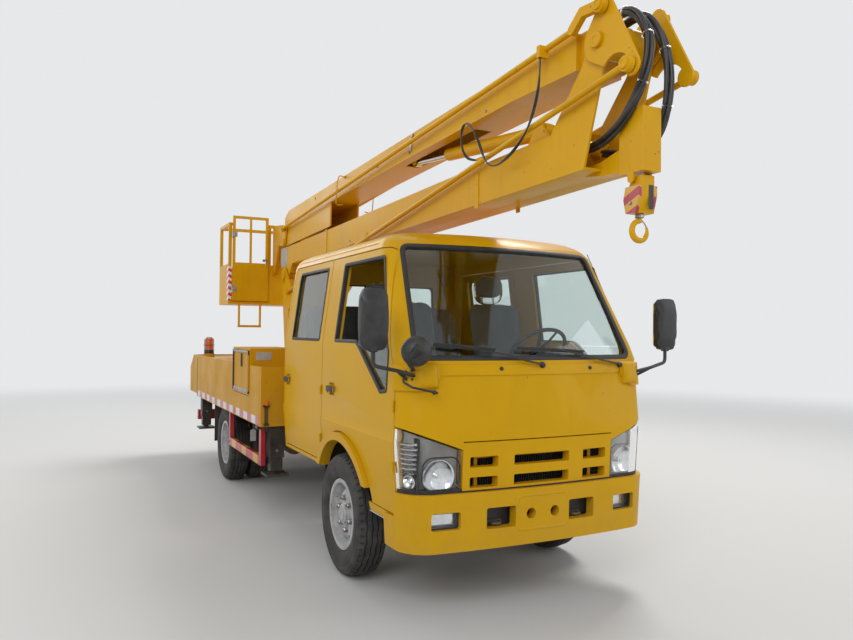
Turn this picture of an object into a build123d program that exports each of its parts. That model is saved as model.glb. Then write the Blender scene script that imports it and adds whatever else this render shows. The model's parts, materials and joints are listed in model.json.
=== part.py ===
from build123d import *
import math
import os

os.makedirs("parts", exist_ok=True)

# Folding-arm aerial work truck on a light crew-cab chassis. Millimetres, +Z up, nose towards -Y.
# While it is modelled, Y counts from the front axle towards the rear; save() moves it to the frame's origin.

# Overall layout
WHEELBASE = 3360
FRONT_END = -1975            # foremost corner of the elbow link plates
REAR_END = 5150              # tail of the deck
Y_SHIFT = -(FRONT_END + REAR_END) / 2

# Running gear
TYRE_RADIUS = 385
TYRE_WIDTH = 196
RIM_BEAD_RADIUS = 206
RIM_FLANGE_RADIUS = 222
RIM_WIDTH = 158
FRONT_TRACK_HALF = 745
TWIN_INNER = 586
TWIN_OUTER = 812
KINGPIN_HALF = 630
AXLE_HEIGHT = TYRE_RADIUS
FIT = 0.3                    # running gap of a pin in its eye

# Chassis rails
RAIL_OUTER = 365
RAIL_FLANGE = 62
RAIL_WEB = 7
RAIL_BOTTOM = 560
RAIL_TOP = 748
RAIL_FRONT = -860
RAIL_REAR = 4980

# Cab
CAB_WALL = 45
GLASS_INSET = 16
GLASS_THICK = 6
DOOR_GAP = 6
DOOR_SWING_GAP = 12
CAB_REAR = 1400
BELT = 1490
WINDOW_TOP = 1990
DOOR_TOP = 2045
ROOF_SPLIT = 2085
ROOF_TOP = 2168
COWL = 1385
PANEL_BOTTOM = 965
GRILLE_BOTTOM = 700
BUMPER_BOTTOM = 379
BUMPER_TOP = 690
BUMPER_PROUD = 20
BUMPER_BACK = -700
DOOR_FRONT = -840
PILLAR_B = 393
DOOR_INNER_X = 690
DOOR_REAR = 1320
FRONT_DOOR_BOTTOM = 560
REAR_DOOR_BOTTOM = 660
FLOOR_TOP = 900
FLOOR_THICK = 40
FOOTWELL_TOP = 700
FOOTWELL_BACK = -470
TUNNEL_HALF = 400
ARCH_RADIUS = 470
ARCH_FLARE = 52
ARCH_PROUD = 30
FLARE_FOOT = 640
FLARE_TOP = 1000

# Deck
DECK_FRONT = 1510
DECK_HALF = 980
DECK_TOP = 1235
DECK_PLATE = 12
SKIRT_BOTTOM = 765
SKIRT_TOP = 1250
SKIRT_THICK = 25
TAIL_START = 4640
TAIL_SLOPE_START = 4900
TAIL_SLOPE_END_Z = 1090

BEACON = (-850, 4620)
BEACON_BASE = 1270
TREAD_PLATE = (470, 930, 2250, 4250)    # the walked panel left of the turret: x, x, y, y
TREAD_PROUD = 3

# Cabinet on the deck's right front
CABINET_FRONT = 1915
CABINET_REAR = 2600
CABINET_INNER = -560
CABINET_BOTTOM = 960
CABINET_TOP = 1395
CABINET_WALL = 20

# Outriggers: name, side, y
JACK_FRONT_Y = 1602
JACK_REAR_Y = 4850
JACKS = [("front_left", 1, JACK_FRONT_Y), ("front_right", -1, JACK_FRONT_Y),
         ("rear_left", 1, JACK_REAR_Y), ("rear_right", -1, JACK_REAR_Y)]
JACK_HALF_SPACING = 830
JACK_HOUSING = 120
JACK_WALL = 8
JACK_TUBE = 100
JACK_HOUSING_BOTTOM = 500
JACK_HOUSING_TOP = 1180
JACK_FOOT = 350
JACK_PAD = 190

# Boom pins, as (y, z)
SLEW_Y = 3450
TURRET_PIN = (3800, 2180)
ELBOW_PIN = (-1695, 2955)
LINK_TOP_PIN = (-1743, 3100)
LINK_LOW_PIN = (-1927, 2762)
TIP_PIN = (3850, 2572)
LUFF_BASE_PIN = (3150, 1500)
LUFF_ROD_PIN = (1750, 2240)
FOLD_BASE_PIN = (-1060, 2690)
FOLD_ROD_PIN = (630, 2860)
HOOK_PIN = (-1800, 2282)

# Boom sections, half widths from the middle outwards
UPPER_WALL = 8
LOWER_WALL = 12
LOWER_HALF = 150
NECK_GAP = 20                # the upper boom between the gooseneck's plates
LINK_GAP = 6                 # the elbow link's plates beside the lower boom
LINK_PLATE = 14
UPPER_GAP = 10               # the upper boom inside the link's plates
FORK_GAP = 6                 # the basket's fork beside the upper boom
FORK_PLATE = 16
CHEEK_GAP = 7                # the turret's cheeks beside the lower boom
CHEEK_PLATE = 15
ROD_GAP = 6                  # the levelling rods beside the cheeks
ROD_RADIUS = 16
UPPER_NECK = LOWER_HALF - LOWER_WALL - NECK_GAP
LINK_IN = LOWER_HALF + LINK_GAP
LINK_OUT = LINK_IN + LINK_PLATE
UPPER_HALF = LINK_IN - UPPER_GAP
FORK_IN = UPPER_HALF + FORK_GAP
FORK_OUT = FORK_IN + FORK_PLATE
CHEEK_IN = LOWER_HALF + CHEEK_GAP
CHEEK_OUT = CHEEK_IN + CHEEK_PLATE
ROD_IN = CHEEK_OUT + ROD_GAP
ROD_OUT = ROD_IN + 2 * ROD_RADIUS
ROD_EYE = 36
ROD_PIN = 20
ELBOW_PIN_RADIUS = 34
TURRET_PIN_RADIUS = 38
TIP_PIN_RADIUS = 26

# Basket
BASKET_FRONT = 4330
BASKET_REAR = 4880
BASKET_HALF = 690
BASKET_FLOOR = 1860
BASKET_RING = 2820
BASKET_TUBE = 34
GATE_HINGE_X = -650
GATE_WIDTH = 420
GATE_TOP = 2900


def box(x0, x1, y0, y1, z0, z1):
    """A block from its low and high corners."""
    return Pos((x0 + x1) / 2, (y0 + y1) / 2, (z0 + z1) / 2) * Box(x1 - x0, y1 - y0, z1 - z0)


def side_prism(outline, x0, x1):
    """An outline of (y, z) points carried along X from x0 to x1."""
    face = make_face(Polyline(*outline, close=True))
    return extrude(Plane.YZ.offset(x0) * face, amount=x1 - x0)


def front_prism(outline, y0, y1):
    """An outline of (x, z) points carried along Y from y0 to y1."""
    face = make_face(Polyline(*outline, close=True))
    return extrude(Plane.XZ.offset(-y0) * face, amount=-(y1 - y0))


def bar(start, end, radius):
    """A round bar between two points."""
    run = Vector(*end) - Vector(*start)
    return Solid.make_cylinder(radius, run.length, Plane(origin=start, z_dir=run))


def pin(place, radius, x0, x1):
    """A round pin along X at a (y, z) place."""
    return bar((x0, place[0], place[1]), (x1, place[0], place[1]), radius)


def span(side, a, b):
    """The X interval between the distances a and b on one side, low value first."""
    return (side * a, side * b) if side > 0 else (side * b, side * a)


def hull_plate(lobes, x0, x1):
    """A plate drawn tight round its lobes, each given as (y, z, radius)."""
    edges = []
    for y, z, radius in lobes:
        edges += (Pos(y, z) * Circle(radius)).edges()
    return extrude(Plane.YZ.offset(x0) * make_hull(edges), amount=x1 - x0)


def soften(sketch, radius):
    """A flat face with its corners rounded, facing up."""
    face = fillet(sketch.vertices(), radius).face()
    return face if face.normal_at().Z > 0 else -face


def rounded(outline, radius):
    """A face from an outline of points, its corners rounded."""
    return soften(make_face(Polyline(*outline, close=True)), radius)


pieces = {}


def save(name, *solids):
    """Keep one node: its solids, moved from the axle's frame to the origin's."""
    moved = [Pos(0, Y_SHIFT, 0) * solid for solid in solids]
    pieces[name] = moved[0] if len(moved) == 1 else Compound(children=moved)


# Cab surface, as level sections: z, half width, front at the middle, corner x, corner y, side start y, rear y
CAB_SECTIONS = [
    (379, 800, -1018, 640, -985, -830, 1385),
    (690, 820, -1024, 640, -992, -835, 1392),
    (956, 841, -1036, 640, -1006, -842, 1400),
    (972, 835, -1037, 640, -1007, -842, 1400),
    (1400, 832, -992, 745, -908, -800, 1400),
    (1478, 831, -951, 739, -867, -763, 1400),
    (2052, 753, -639, 677, -543, -435, 1374),
    (2092, 730, -594, 648, -504, -404, 1360),
    (2118, 702, -558, 618, -474, -376, 1344),
    (2144, 650, -508, 566, -428, -334, 1312),
    (2160, 585, -452, 505, -380, -292, 1270),
    (2168, 500, -385, 430, -325, -246, 1215),
]
CAB_CORNER_BULGE = 0.38
CAB_REAR_RADIUS = 70


def cab_section(row, inset):
    """One level section of the cab, drawn in by inset."""
    z, half, middle, corner_x, corner_y, side_y, rear = row
    half = half - inset
    middle = middle + inset
    corner_x = corner_x - inset * 0.35
    corner_y = corner_y + inset
    side_y = side_y + inset * 0.6
    rear = rear - inset
    radius = max(CAB_REAR_RADIUS - inset, 12)
    bulge_x = (corner_x + half) / 2 + CAB_CORNER_BULGE * (half - corner_x) / 2
    bulge_y = (corner_y + side_y) / 2 - CAB_CORNER_BULGE * (side_y - corner_y) / 2
    cut = radius * (1 - math.sqrt(0.5))
    edges = [
        ThreePointArc((-corner_x, corner_y), (0, middle), (corner_x, corner_y)),
        ThreePointArc((corner_x, corner_y), (bulge_x, bulge_y), (half, side_y)),
        Line((half, side_y), (half, rear - radius)),
        ThreePointArc((half, rear - radius), (half - cut, rear - cut), (half - radius, rear)),
        Line((half - radius, rear), (radius - half, rear)),
        ThreePointArc((radius - half, rear), (cut - half, rear - cut), (-half, rear - radius)),
        Line((-half, rear - radius), (-half, side_y)),
        ThreePointArc((-half, side_y), (-bulge_x, bulge_y), (-corner_x, corner_y)),
    ]
    return Pos(0, 0, z) * make_face(edges)


def cab_form(inset, top_drop=0):
    """The closed cab form, drawn in by inset, its top lowered by top_drop."""
    rows = CAB_SECTIONS[:-1]
    last = CAB_SECTIONS[-1]
    top = last[0] - top_drop
    rows = [row for row in rows if row[0] < top - 3] + [(top,) + last[1:]]
    return loft([cab_section(row, inset) for row in rows], ruled=True)


cab_outside = cab_form(0)
cab_inside = cab_form(CAB_WALL, top_drop=30)
cab_shell = cab_outside - cab_inside
glass_layer = cab_form(GLASS_INSET, top_drop=10) - cab_form(GLASS_INSET + GLASS_THICK, top_drop=15)


def arch_outline(grow):
    """The front wheel opening seen from the side, grown by an amount."""
    radius = ARCH_RADIUS + grow
    top = Pos(0, AXLE_HEIGHT) * Circle(radius)
    low = Pos(0, AXLE_HEIGHT - 250) * Rectangle(2 * radius, 500)
    return top + low


def arch_prism(grow, x0, x1):
    return extrude(Plane.YZ.offset(x0) * arch_outline(grow), amount=x1 - x0)


HINGE_X = 841
HINGE_RADIUS = 7
HINGE_LENGTH = 60
HINGE_CLEAR = 2
WINDOW_CORNER = 14
FRONT_HINGE_Y = DOOR_FRONT + 2
REAR_HINGE_Y = PILLAR_B + DOOR_GAP
HINGE_HEIGHTS = [820, 1150]
FRONT_DOOR = [
    (DOOR_FRONT, FRONT_DOOR_BOTTOM), (DOOR_FRONT, 1330), (-800, 1410), (-560, 2025), (-525, DOOR_TOP),
    (PILLAR_B - DOOR_GAP, DOOR_TOP), (PILLAR_B - DOOR_GAP, FRONT_DOOR_BOTTOM),
]
REAR_DOOR = [
    (PILLAR_B + DOOR_GAP, REAR_DOOR_BOTTOM), (PILLAR_B + DOOR_GAP, DOOR_TOP), (1235, DOOR_TOP), (1278, 1995),
    (DOOR_REAR, BELT), (DOOR_REAR, 900), (1290, REAR_DOOR_BOTTOM),
]
FRONT_WINDOW = [
    (140, BELT), (140, WINDOW_TOP), (-518, WINDOW_TOP), (-750, 1440), (-728, 1225), (-640, 1213), (-290, 1462),
    (-240, BELT),
]
QUARTER_SPLIT = 1462
REAR_WINDOW = [(470, BELT), (470, WINDOW_TOP), (1118, WINDOW_TOP), (1138, 1940), (1138, BELT)]


def grown(outline, amount):
    """An outline of points, each moved out by an amount."""
    return offset(make_face(Polyline(*outline, close=True)), amount, kind=Kind.INTERSECTION)


def door_cut(outline, side):
    """The opening that a door fills, its gap all round included."""
    x0, x1 = span(side, DOOR_INNER_X, 1100)
    return extrude(Plane.YZ.offset(x0) * grown(outline, DOOR_GAP / 2), amount=x1 - x0)


def door_blank(outline, side):
    """A door's shell before its window is cut."""
    x0, x1 = span(side, DOOR_INNER_X, 1100)
    return extrude(Plane.YZ.offset(x0) * grown(outline, -DOOR_GAP / 2), amount=x1 - x0) & cab_shell


def window_tool(outline, side):
    x0, x1 = span(side, DOOR_INNER_X, 1100)
    return extrude(Plane.YZ.offset(x0) * rounded(outline, WINDOW_CORNER), amount=x1 - x0)


def hinge_barrels(side, y, grow):
    """The two hinge barrels of a door, or their pockets when grow is the clearance."""
    barrels = None
    for z in HINGE_HEIGHTS:
        half = HINGE_LENGTH / 2 + grow
        barrel = bar((side * HINGE_X, y, z - half), (side * HINGE_X, y, z + half), HINGE_RADIUS + grow)
        barrels = barrel if barrels is None else barrels + barrel
    return barrels


HANDLE_HALF = 68
HANDLE_PROUD = 18


def handle(side, y, z):
    """A pull handle over its finger space."""
    x0, x1 = span(side, 824, 834 + HANDLE_PROUD)
    grip = box(x0, x1, y - HANDLE_HALF, y + HANDLE_HALF, z - 15, z + 15)
    x0, x1 = span(side, 823, 822 + HANDLE_PROUD)
    return grip - box(x0, x1, y - HANDLE_HALF + 14, y + HANDLE_HALF - 14, z - 16, z + 16)


def make_doors():
    for side, word in ((1, "left"), (-1, "right")):
        x0, x1 = span(side, DOOR_INNER_X, 1100)
        for name, outline, window, hinge_y, handle_y in (
                ("front_door_", FRONT_DOOR, FRONT_WINDOW, FRONT_HINGE_Y, 180),
                ("rear_door_", REAR_DOOR, REAR_WINDOW, REAR_HINGE_Y, 1225)):
            door = door_blank(outline, side) - window_tool(window, side)
            door = door - arch_prism(ARCH_FLARE + DOOR_GAP, x0, x1)
            recess = box(*span(side, 818, 900), handle_y - 50, handle_y + 50, 1130, 1210)
            door = door - recess + handle(side, handle_y, 1170)
            door = door + hinge_barrels(side, hinge_y, 0)
            save(name + word, door)
        pane = glass_layer & window_tool(FRONT_WINDOW, side)
        quarter = pane & box(x0, x1, -900, 500, 1100, QUARTER_SPLIT)
        main = pane & box(x0, x1, -900, 500, QUARTER_SPLIT + 8, 2100)
        if side > 0:
            save("front_door_glass_left", main, quarter)
        else:
            save("quarter_panel_right", quarter)
        save("rear_door_glass_" + word, glass_layer & window_tool(REAR_WINDOW, side))


WINDSCREEN = [(-735, 1412), (735, 1412), (664, 2062), (-664, 2062)]
REAR_GLASS = [(-520, 1484), (520, 1484), (500, 1940), (-500, 1940)]
SCREEN_CORNER = 45
SILL_FRONT = 517
SILL_REAR = 631


def screen_tool(outline, y0, y1):
    face = rounded(outline, SCREEN_CORNER)
    return extrude(Plane.XZ.offset(-y0) * face, amount=-(y1 - y0))


def footwell(side):
    """The low floor, riser and tunnel side by one front seat, with the step at the door's foot."""
    x0, x1 = span(side, TUNNEL_HALF - 20, 1200)
    well = box(x0, x1, -900, FOOTWELL_BACK, FOOTWELL_TOP - FLOOR_THICK, FOOTWELL_TOP)
    well = well + box(x0, x1, FOOTWELL_BACK - 30, FOOTWELL_BACK, FOOTWELL_TOP - FLOOR_THICK, FLOOR_TOP)
    x0, x1 = span(side, TUNNEL_HALF - 20, TUNNEL_HALF)
    well = well + box(x0, x1, -950, FOOTWELL_BACK, FOOTWELL_TOP - FLOOR_THICK, FLOOR_TOP)
    step_top = FRONT_DOOR_BOTTOM - DOOR_GAP
    y0 = BUMPER_BACK + DOOR_GAP
    step = box(*span(side, 640, 810), y0, FOOTWELL_BACK, SILL_FRONT, step_top)
    step = step + box(*span(side, 640, 660), y0, FOOTWELL_BACK, SILL_FRONT, FOOTWELL_TOP - FLOOR_THICK)
    return (cab_inside & well) + step


def make_cab():
    side_start = DOOR_FRONT - DOOR_GAP / 2
    side_zone = box(-1200, 1200, side_start, 1600, 300, ROOF_SPLIT)
    pillar_zone = box(-1200, 1200, -1200, side_start, COWL, ROOF_SPLIT)
    screen = screen_tool(WINDSCREEN, -1200, -300)
    back_glass = screen_tool(REAR_GLASS, 1200, 1600)
    body = (cab_shell & side_zone) + (cab_shell & pillar_zone)
    for side in (1, -1):
        body = body - door_cut(FRONT_DOOR, side) - door_cut(REAR_DOOR, side)
        for hinge_y in (FRONT_HINGE_Y, REAR_HINGE_Y):
            body = body - hinge_barrels(side, hinge_y, HINGE_CLEAR)
        x0, x1 = span(side, DOOR_INNER_X, 1100)
        body = body - arch_prism(0, x0, x1)
    body = body - screen - back_glass
    body = body - box(-TUNNEL_HALF, TUNNEL_HALF, 1300, 1450, 300, RAIL_TOP + 12)
    body = body - box(-1200, 1200, -1200, BUMPER_BACK, 300, BUMPER_TOP + 6)
    body = body - box(-1200, 1200, PILLAR_B - 93, 1600, 300, SILL_REAR)
    body = body - box(-1200, 1200, -1200, PILLAR_B - 93, 300, SILL_FRONT)
    body = body + (cab_inside & box(-1200, 1200, FOOTWELL_BACK, 1600, FLOOR_TOP - FLOOR_THICK, FLOOR_TOP))
    tunnel = box(-TUNNEL_HALF, TUNNEL_HALF, -950, FOOTWELL_BACK, FLOOR_TOP - FLOOR_THICK, FLOOR_TOP)
    body = body + (cab_inside & tunnel)
    flare = cab_form(-ARCH_PROUD) - cab_inside
    for side in (1, -1):
        x0, x1 = span(side, 600, 1100)
        ring = arch_prism(ARCH_FLARE, x0, x1) - arch_prism(0, x0, x1)
        ring = ring & box(-1200, 1200, -700, 700, FLARE_FOOT, FLARE_TOP)
        body = body + (flare & ring) + footwell(side)
    door_room = cab_inside - cab_form(CAB_WALL + DOOR_SWING_GAP, top_drop=30)
    for side in (1, -1):
        body = body - (door_room & door_cut(FRONT_DOOR, side)) - (door_room & door_cut(REAR_DOOR, side))
    save("cab_body", body)
    save("cab_roof", cab_shell & box(-1200, 1200, -1200, 1600, ROOF_SPLIT, 2300))
    save("cab_glass", glass_layer & screen, glass_layer & back_glass)


# Front, from the middle outwards
GRILLE_HALF = 502
GRILLE_SLOTS = [(-460, -288), (-186, 186), (288, 460)]
GRILLE_ROWS = [712, 822]
GRILLE_SLOT_HEIGHT = 58
LAMP_INNER = 508
LAMP_DIVIDER = 746
LAMP_LOW = 700
LAMP_TOP = [(LAMP_INNER, 917), (LAMP_DIVIDER, 1005), (900, 1062)]
FRONT_GAP = 6
LAMP_DEPTH = 110
VANE = [(621, 1374), (860, 1374), (860, 1238), (700, 1238), (621, 1300)]
VANE_PROUD = 14
vane_form = cab_form(-VANE_PROUD)
LEDGE_HALF = 618
LEDGE = (1318, 1374)
LEDGE_PROUD = 7
FOG = (517, 685, 500, 592)
BUMPER_HOLE = (180, 362, 486, 600)
BUMPER_EYE_X = 80
BUMPER_EYE_Z = 548
BUMPER_EYE_RADIUS = 30


def mirrored(outline, side):
    return [(side * x, z) for x, z in outline]


def slotted(x0, x1, z0, z1, radius):
    """An opening with rounded corners, through the front."""
    face = Pos((x0 + x1) / 2, (z0 + z1) / 2) * RectangleRounded(x1 - x0, z1 - z0, radius)
    return extrude(Plane.XZ.offset(1200) * face, amount=-350)


def make_front():
    side_start = DOOR_FRONT - DOOR_GAP / 2
    grille = (cab_outside - cab_form(60)) & box(-GRILLE_HALF, GRILLE_HALF, -1200, -850, GRILLE_BOTTOM,
                                                PANEL_BOTTOM - FRONT_GAP)
    for low in GRILLE_ROWS:
        for left, right in GRILLE_SLOTS:
            grille = grille - slotted(left, right, low, low + GRILLE_SLOT_HEIGHT, 9)
    save("grille", grille)
    panel_outline = [(LAMP_INNER - FRONT_GAP, PANEL_BOTTOM), (LAMP_INNER - FRONT_GAP, LAMP_TOP[0][1] + FRONT_GAP)]
    panel_outline += [(x, z + FRONT_GAP) for x, z in LAMP_TOP] + [(900, COWL), (LAMP_INNER - FRONT_GAP, COWL)]
    panel = cab_shell & box(-LAMP_INNER, LAMP_INNER, -1200, side_start, PANEL_BOTTOM, COWL)
    vane_layer = vane_form - cab_form(10)
    for side in (1, -1):
        panel = panel + (cab_shell & front_prism(mirrored(panel_outline, side), -1200, side_start))
        panel = panel + (vane_layer & front_prism(mirrored(VANE, side), -1200, side_start))
        panel = panel - hinge_barrels(side, FRONT_HINGE_Y, HINGE_CLEAR)
    panel = panel + ((cab_form(-LEDGE_PROUD) - cab_form(10)) & box(-LEDGE_HALF, LEDGE_HALF, -1200, -850, *LEDGE))
    save("front_panel", panel)
    lamp_outline = [(LAMP_INNER, LAMP_LOW)] + LAMP_TOP + [(900, LAMP_LOW)]
    lamps = []
    for side in (1, -1):
        lamp_form = cab_form(6) - cab_form(LAMP_DEPTH)
        lamps.append(lamp_form & front_prism(mirrored(lamp_outline, side), -1200, side_start))
    form = cab_form(-BUMPER_PROUD) - cab_form(45)
    bumper = form & box(-1200, 1200, -1200, BUMPER_BACK, BUMPER_BOTTOM, BUMPER_TOP)
    bumper = bumper - box(-1200, 1200, side_start, 0, FRONT_DOOR_BOTTOM - DOOR_GAP, BUMPER_TOP + 1)
    lens_layer = cab_form(2) - cab_form(40)
    for side in (1, -1):
        x0, x1 = span(side, *BUMPER_HOLE[:2])
        bumper = bumper - slotted(x0, x1, BUMPER_HOLE[2], BUMPER_HOLE[3], 12)
        x0, x1 = span(side, *FOG[:2])
        bumper = bumper - slotted(x0, x1, FOG[2], FOG[3], 14)
        lamps.append(lens_layer & slotted(x0 + 2, x1 - 2, FOG[2] + 2, FOG[3] - 2, 12))
        x = side * BUMPER_EYE_X
        bumper = bumper - bar((x, -1200, BUMPER_EYE_Z), (x, -900, BUMPER_EYE_Z), BUMPER_EYE_RADIUS)
    save("bumper", bumper)
    lamps.append(Pos(*BEACON, BEACON_BASE) * Solid.make_cylinder(55, 1465 - BEACON_BASE))
    save("lamps", *lamps)


# Seats: low x, high x, front y, back y of the cushion
SEATS = [(210, 660, -330, 170), (-660, -60, -330, 170), (-700, 700, 780, 1240)]
SEAT_TOP = 1230
SEAT_BACK_TOP = 1780
SEAT_LEAN = 110


def seat(x0, x1, y0, y1):
    """A cushion on its box, and a back that leans and narrows to its top."""
    base = box(x0 + 30, x1 - 30, y0 + 40, y1 - 20, FLOOR_TOP, SEAT_TOP - 120)
    cushion = fillet(box(x0, x1, y0, y1, SEAT_TOP - 130, SEAT_TOP).edges(), 28)
    sections = []
    for z, half_cut, lean in ((SEAT_TOP - 40, 0, 0), (SEAT_TOP + 300, 6, 0.55), (SEAT_BACK_TOP, 34, 1)):
        width = x1 - x0 - 2 * half_cut
        middle = y1 - 45 + lean * SEAT_LEAN
        face = Pos((x0 + x1) / 2, middle, z) * RectangleRounded(width, 100 - half_cut, 26)
        sections.append(face)
    back = loft(sections, ruled=True)
    return base + cushion + back


def make_inside():
    dash = box(-740, 740, -860, -560, 1180, 1400) & cab_form(CAB_WALL + 6, top_drop=40)
    column = bar((380, -680, 1180), (380, -415, 1435), 30)
    rim = Plane(origin=(380, -418, 1432), z_dir=(0, 0.707, 0.707)) * Torus(200, 14)
    hub = Plane(origin=(380, -418, 1432), z_dir=(0, 0.707, 0.707)) * Cylinder(45, 30)
    spoke = Plane(origin=(380, -418, 1432), z_dir=(0, 0.707, 0.707)) * Box(400, 30, 14)
    save("dashboard", dash + column + rim + hub + spoke)
    save("seats", *[seat(*row) for row in SEATS])


def make_chassis():
    rails = []
    for side in (1, -1):
        x0, x1 = span(side, RAIL_OUTER - RAIL_FLANGE, RAIL_OUTER)
        rail = box(x0, x1, RAIL_FRONT, RAIL_REAR, RAIL_BOTTOM, RAIL_TOP)
        i0, i1 = span(side, RAIL_OUTER - RAIL_FLANGE - 1, RAIL_OUTER - RAIL_WEB)
        rail = rail - box(i0, i1, RAIL_FRONT - 1, RAIL_REAR + 1, RAIL_BOTTOM + RAIL_WEB, RAIL_TOP - RAIL_WEB)
        rails.append(rail)
    frame = rails[0] + rails[1]
    inner = RAIL_OUTER - RAIL_WEB
    for y in (-800, 1250, 1800, 2700, 4100, 4895):
        frame = frame + box(-inner, inner, y, y + 80, RAIL_BOTTOM + 40, RAIL_TOP - 30)
    save("chassis_frame", frame)
    save("engine", box(-240, 240, -420, 560, 430, 845), box(-150, 150, 565, 1200, 450, 720))
    tank = box(430, 790, 2000, 2700, 430, 735)
    save("fuel_tank", fillet(tank.edges().filter_by(Axis.Y), 60) + box(366, 430, 2100, 2600, 600, 700))
    silencer = bar((-560, 1950, 560), (-560, 2500, 560), 110)
    hanger = box(-560, -366, 2150, 2250, 560, 680)
    pipe = bar((-560, 2500, 560), (-560, 2950, 560), 35)
    save("exhaust", silencer + hanger + pipe)


SPRING_X = 330
SPRING_HALF = 32
LEAF_THICK = 14
LEAF_COUNT = 4
LEAF_RISE = 70


def leaf_spring(x, y, length, z):
    """A stack of leaves, each shorter than the one above and all bent to one arc, with its hangers."""
    stack = None
    x0, x1 = x - SPRING_HALF, x + SPRING_HALF
    for index in range(LEAF_COUNT):
        share = 1 - 0.2 * index
        half = length / 2 * share
        top = z - index * LEAF_THICK
        end = top + LEAF_RISE * share ** 2
        upper = ThreePointArc((y - half, end), (y, top), (y + half, end))
        lower = ThreePointArc((y + half, end - LEAF_THICK), (y, top - LEAF_THICK), (y - half, end - LEAF_THICK))
        face = make_face([upper, Line(upper @ 1, lower @ 0), lower, Line(lower @ 1, upper @ 0)])
        leaf = extrude(Plane.YZ.offset(x0) * face, amount=x1 - x0)
        stack = leaf if stack is None else stack + leaf
    for end in (-1, 1):
        middle = y + end * (length / 2 - 20)
        stack = stack + box(x0, x1, middle - 20, middle + 20, z + LEAF_RISE - 24, RAIL_BOTTOM)
    return stack


def make_axles():
    beam = box(-KINGPIN_HALF + 30, KINGPIN_HALF - 30, -35, 35, 335, 405)
    for side in (1, -1):
        x = side * KINGPIN_HALF
        beam = beam + bar((x, 0, 340), (x, 0, 430), 38)
        beam = beam + bar((x, 0, 300), (x, 0, 470), 16)
        x0, x1 = span(side, SPRING_X - SPRING_HALF, SPRING_X + SPRING_HALF)
        beam = beam + leaf_spring(side * SPRING_X, 0, 1100, 465) + box(x0, x1, -45, 45, 400, 425)
    save("front_axle", beam)
    housing = bar((-470, WHEELBASE, AXLE_HEIGHT), (470, WHEELBASE, AXLE_HEIGHT), 55)
    spindle = bar((-840, WHEELBASE, AXLE_HEIGHT), (840, WHEELBASE, AXLE_HEIGHT), 40)
    ball = Pos(0, WHEELBASE, AXLE_HEIGHT) * Sphere(150)
    shaft = bar((0, WHEELBASE - 120, AXLE_HEIGHT + 20), (0, 1216, 560), 40)
    axle = housing + spindle + ball + shaft
    for side in (1, -1):
        axle = axle + leaf_spring(side * SPRING_X, WHEELBASE, 1250, 475)
    save("rear_axle", axle)


def tyre(x):
    """A tyre about the X axis, its middle at x: beads, bulged walls, shoulders and a crowned tread."""
    half = TYRE_WIDTH / 2
    bead = RIM_WIDTH / 2 - 6
    shoulder = TYRE_RADIUS - 14
    edges = []
    for way in (1, -1):
        edges.append(Line((way * bead, RIM_BEAD_RADIUS), (way * bead, RIM_FLANGE_RADIUS + 3)))
        edges.append(ThreePointArc((way * bead, RIM_FLANGE_RADIUS + 3), (way * half, 300), (way * 88, 358)))
        edges.append(ThreePointArc((way * 88, 358), (way * 84, 366), (way * 76, shoulder)))
    edges.append(ThreePointArc((-76, shoulder), (0, TYRE_RADIUS), (76, shoulder)))
    edges.append(Line((-bead, RIM_BEAD_RADIUS), (bead, RIM_BEAD_RADIUS)))
    return Pos(x, 0, 0) * revolve(make_face(edges), Axis.X)


def rim(x, out, dish, bore):
    """A steel wheel about the X axis: barrel, flanges and a disc at dish from the middle, out is +1 or -1."""
    w = RIM_WIDTH / 2
    barrel = [(-w, RIM_BEAD_RADIUS - 8), (-w, RIM_FLANGE_RADIUS), (-w + 5, RIM_FLANGE_RADIUS),
              (-w + 5, RIM_BEAD_RADIUS - 0.5), (w - 5, RIM_BEAD_RADIUS - 0.5), (w - 5, RIM_FLANGE_RADIUS),
              (w, RIM_FLANGE_RADIUS), (w, RIM_BEAD_RADIUS - 8)]
    body = revolve(make_face(Polyline(*barrel, close=True)), Axis.X)
    near = dish - out * 40
    disc = [(dish - 5, bore), (dish + 5, bore), (dish + 5, 130), (near + 5, RIM_BEAD_RADIUS - 4),
            (near - 5, RIM_BEAD_RADIUS - 4), (dish - 5, 130)]
    body = body + revolve(make_face(Polyline(*disc, close=True)), Axis.X)
    for index in range(8):
        turn = index * 45
        hole = Pos(0, 162 * math.cos(math.radians(turn)), 162 * math.sin(math.radians(turn)))
        body = body - hole * Rot(0, 90, 0) * Cylinder(19, 400)
    return Pos(x, 0, 0) * body


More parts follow.
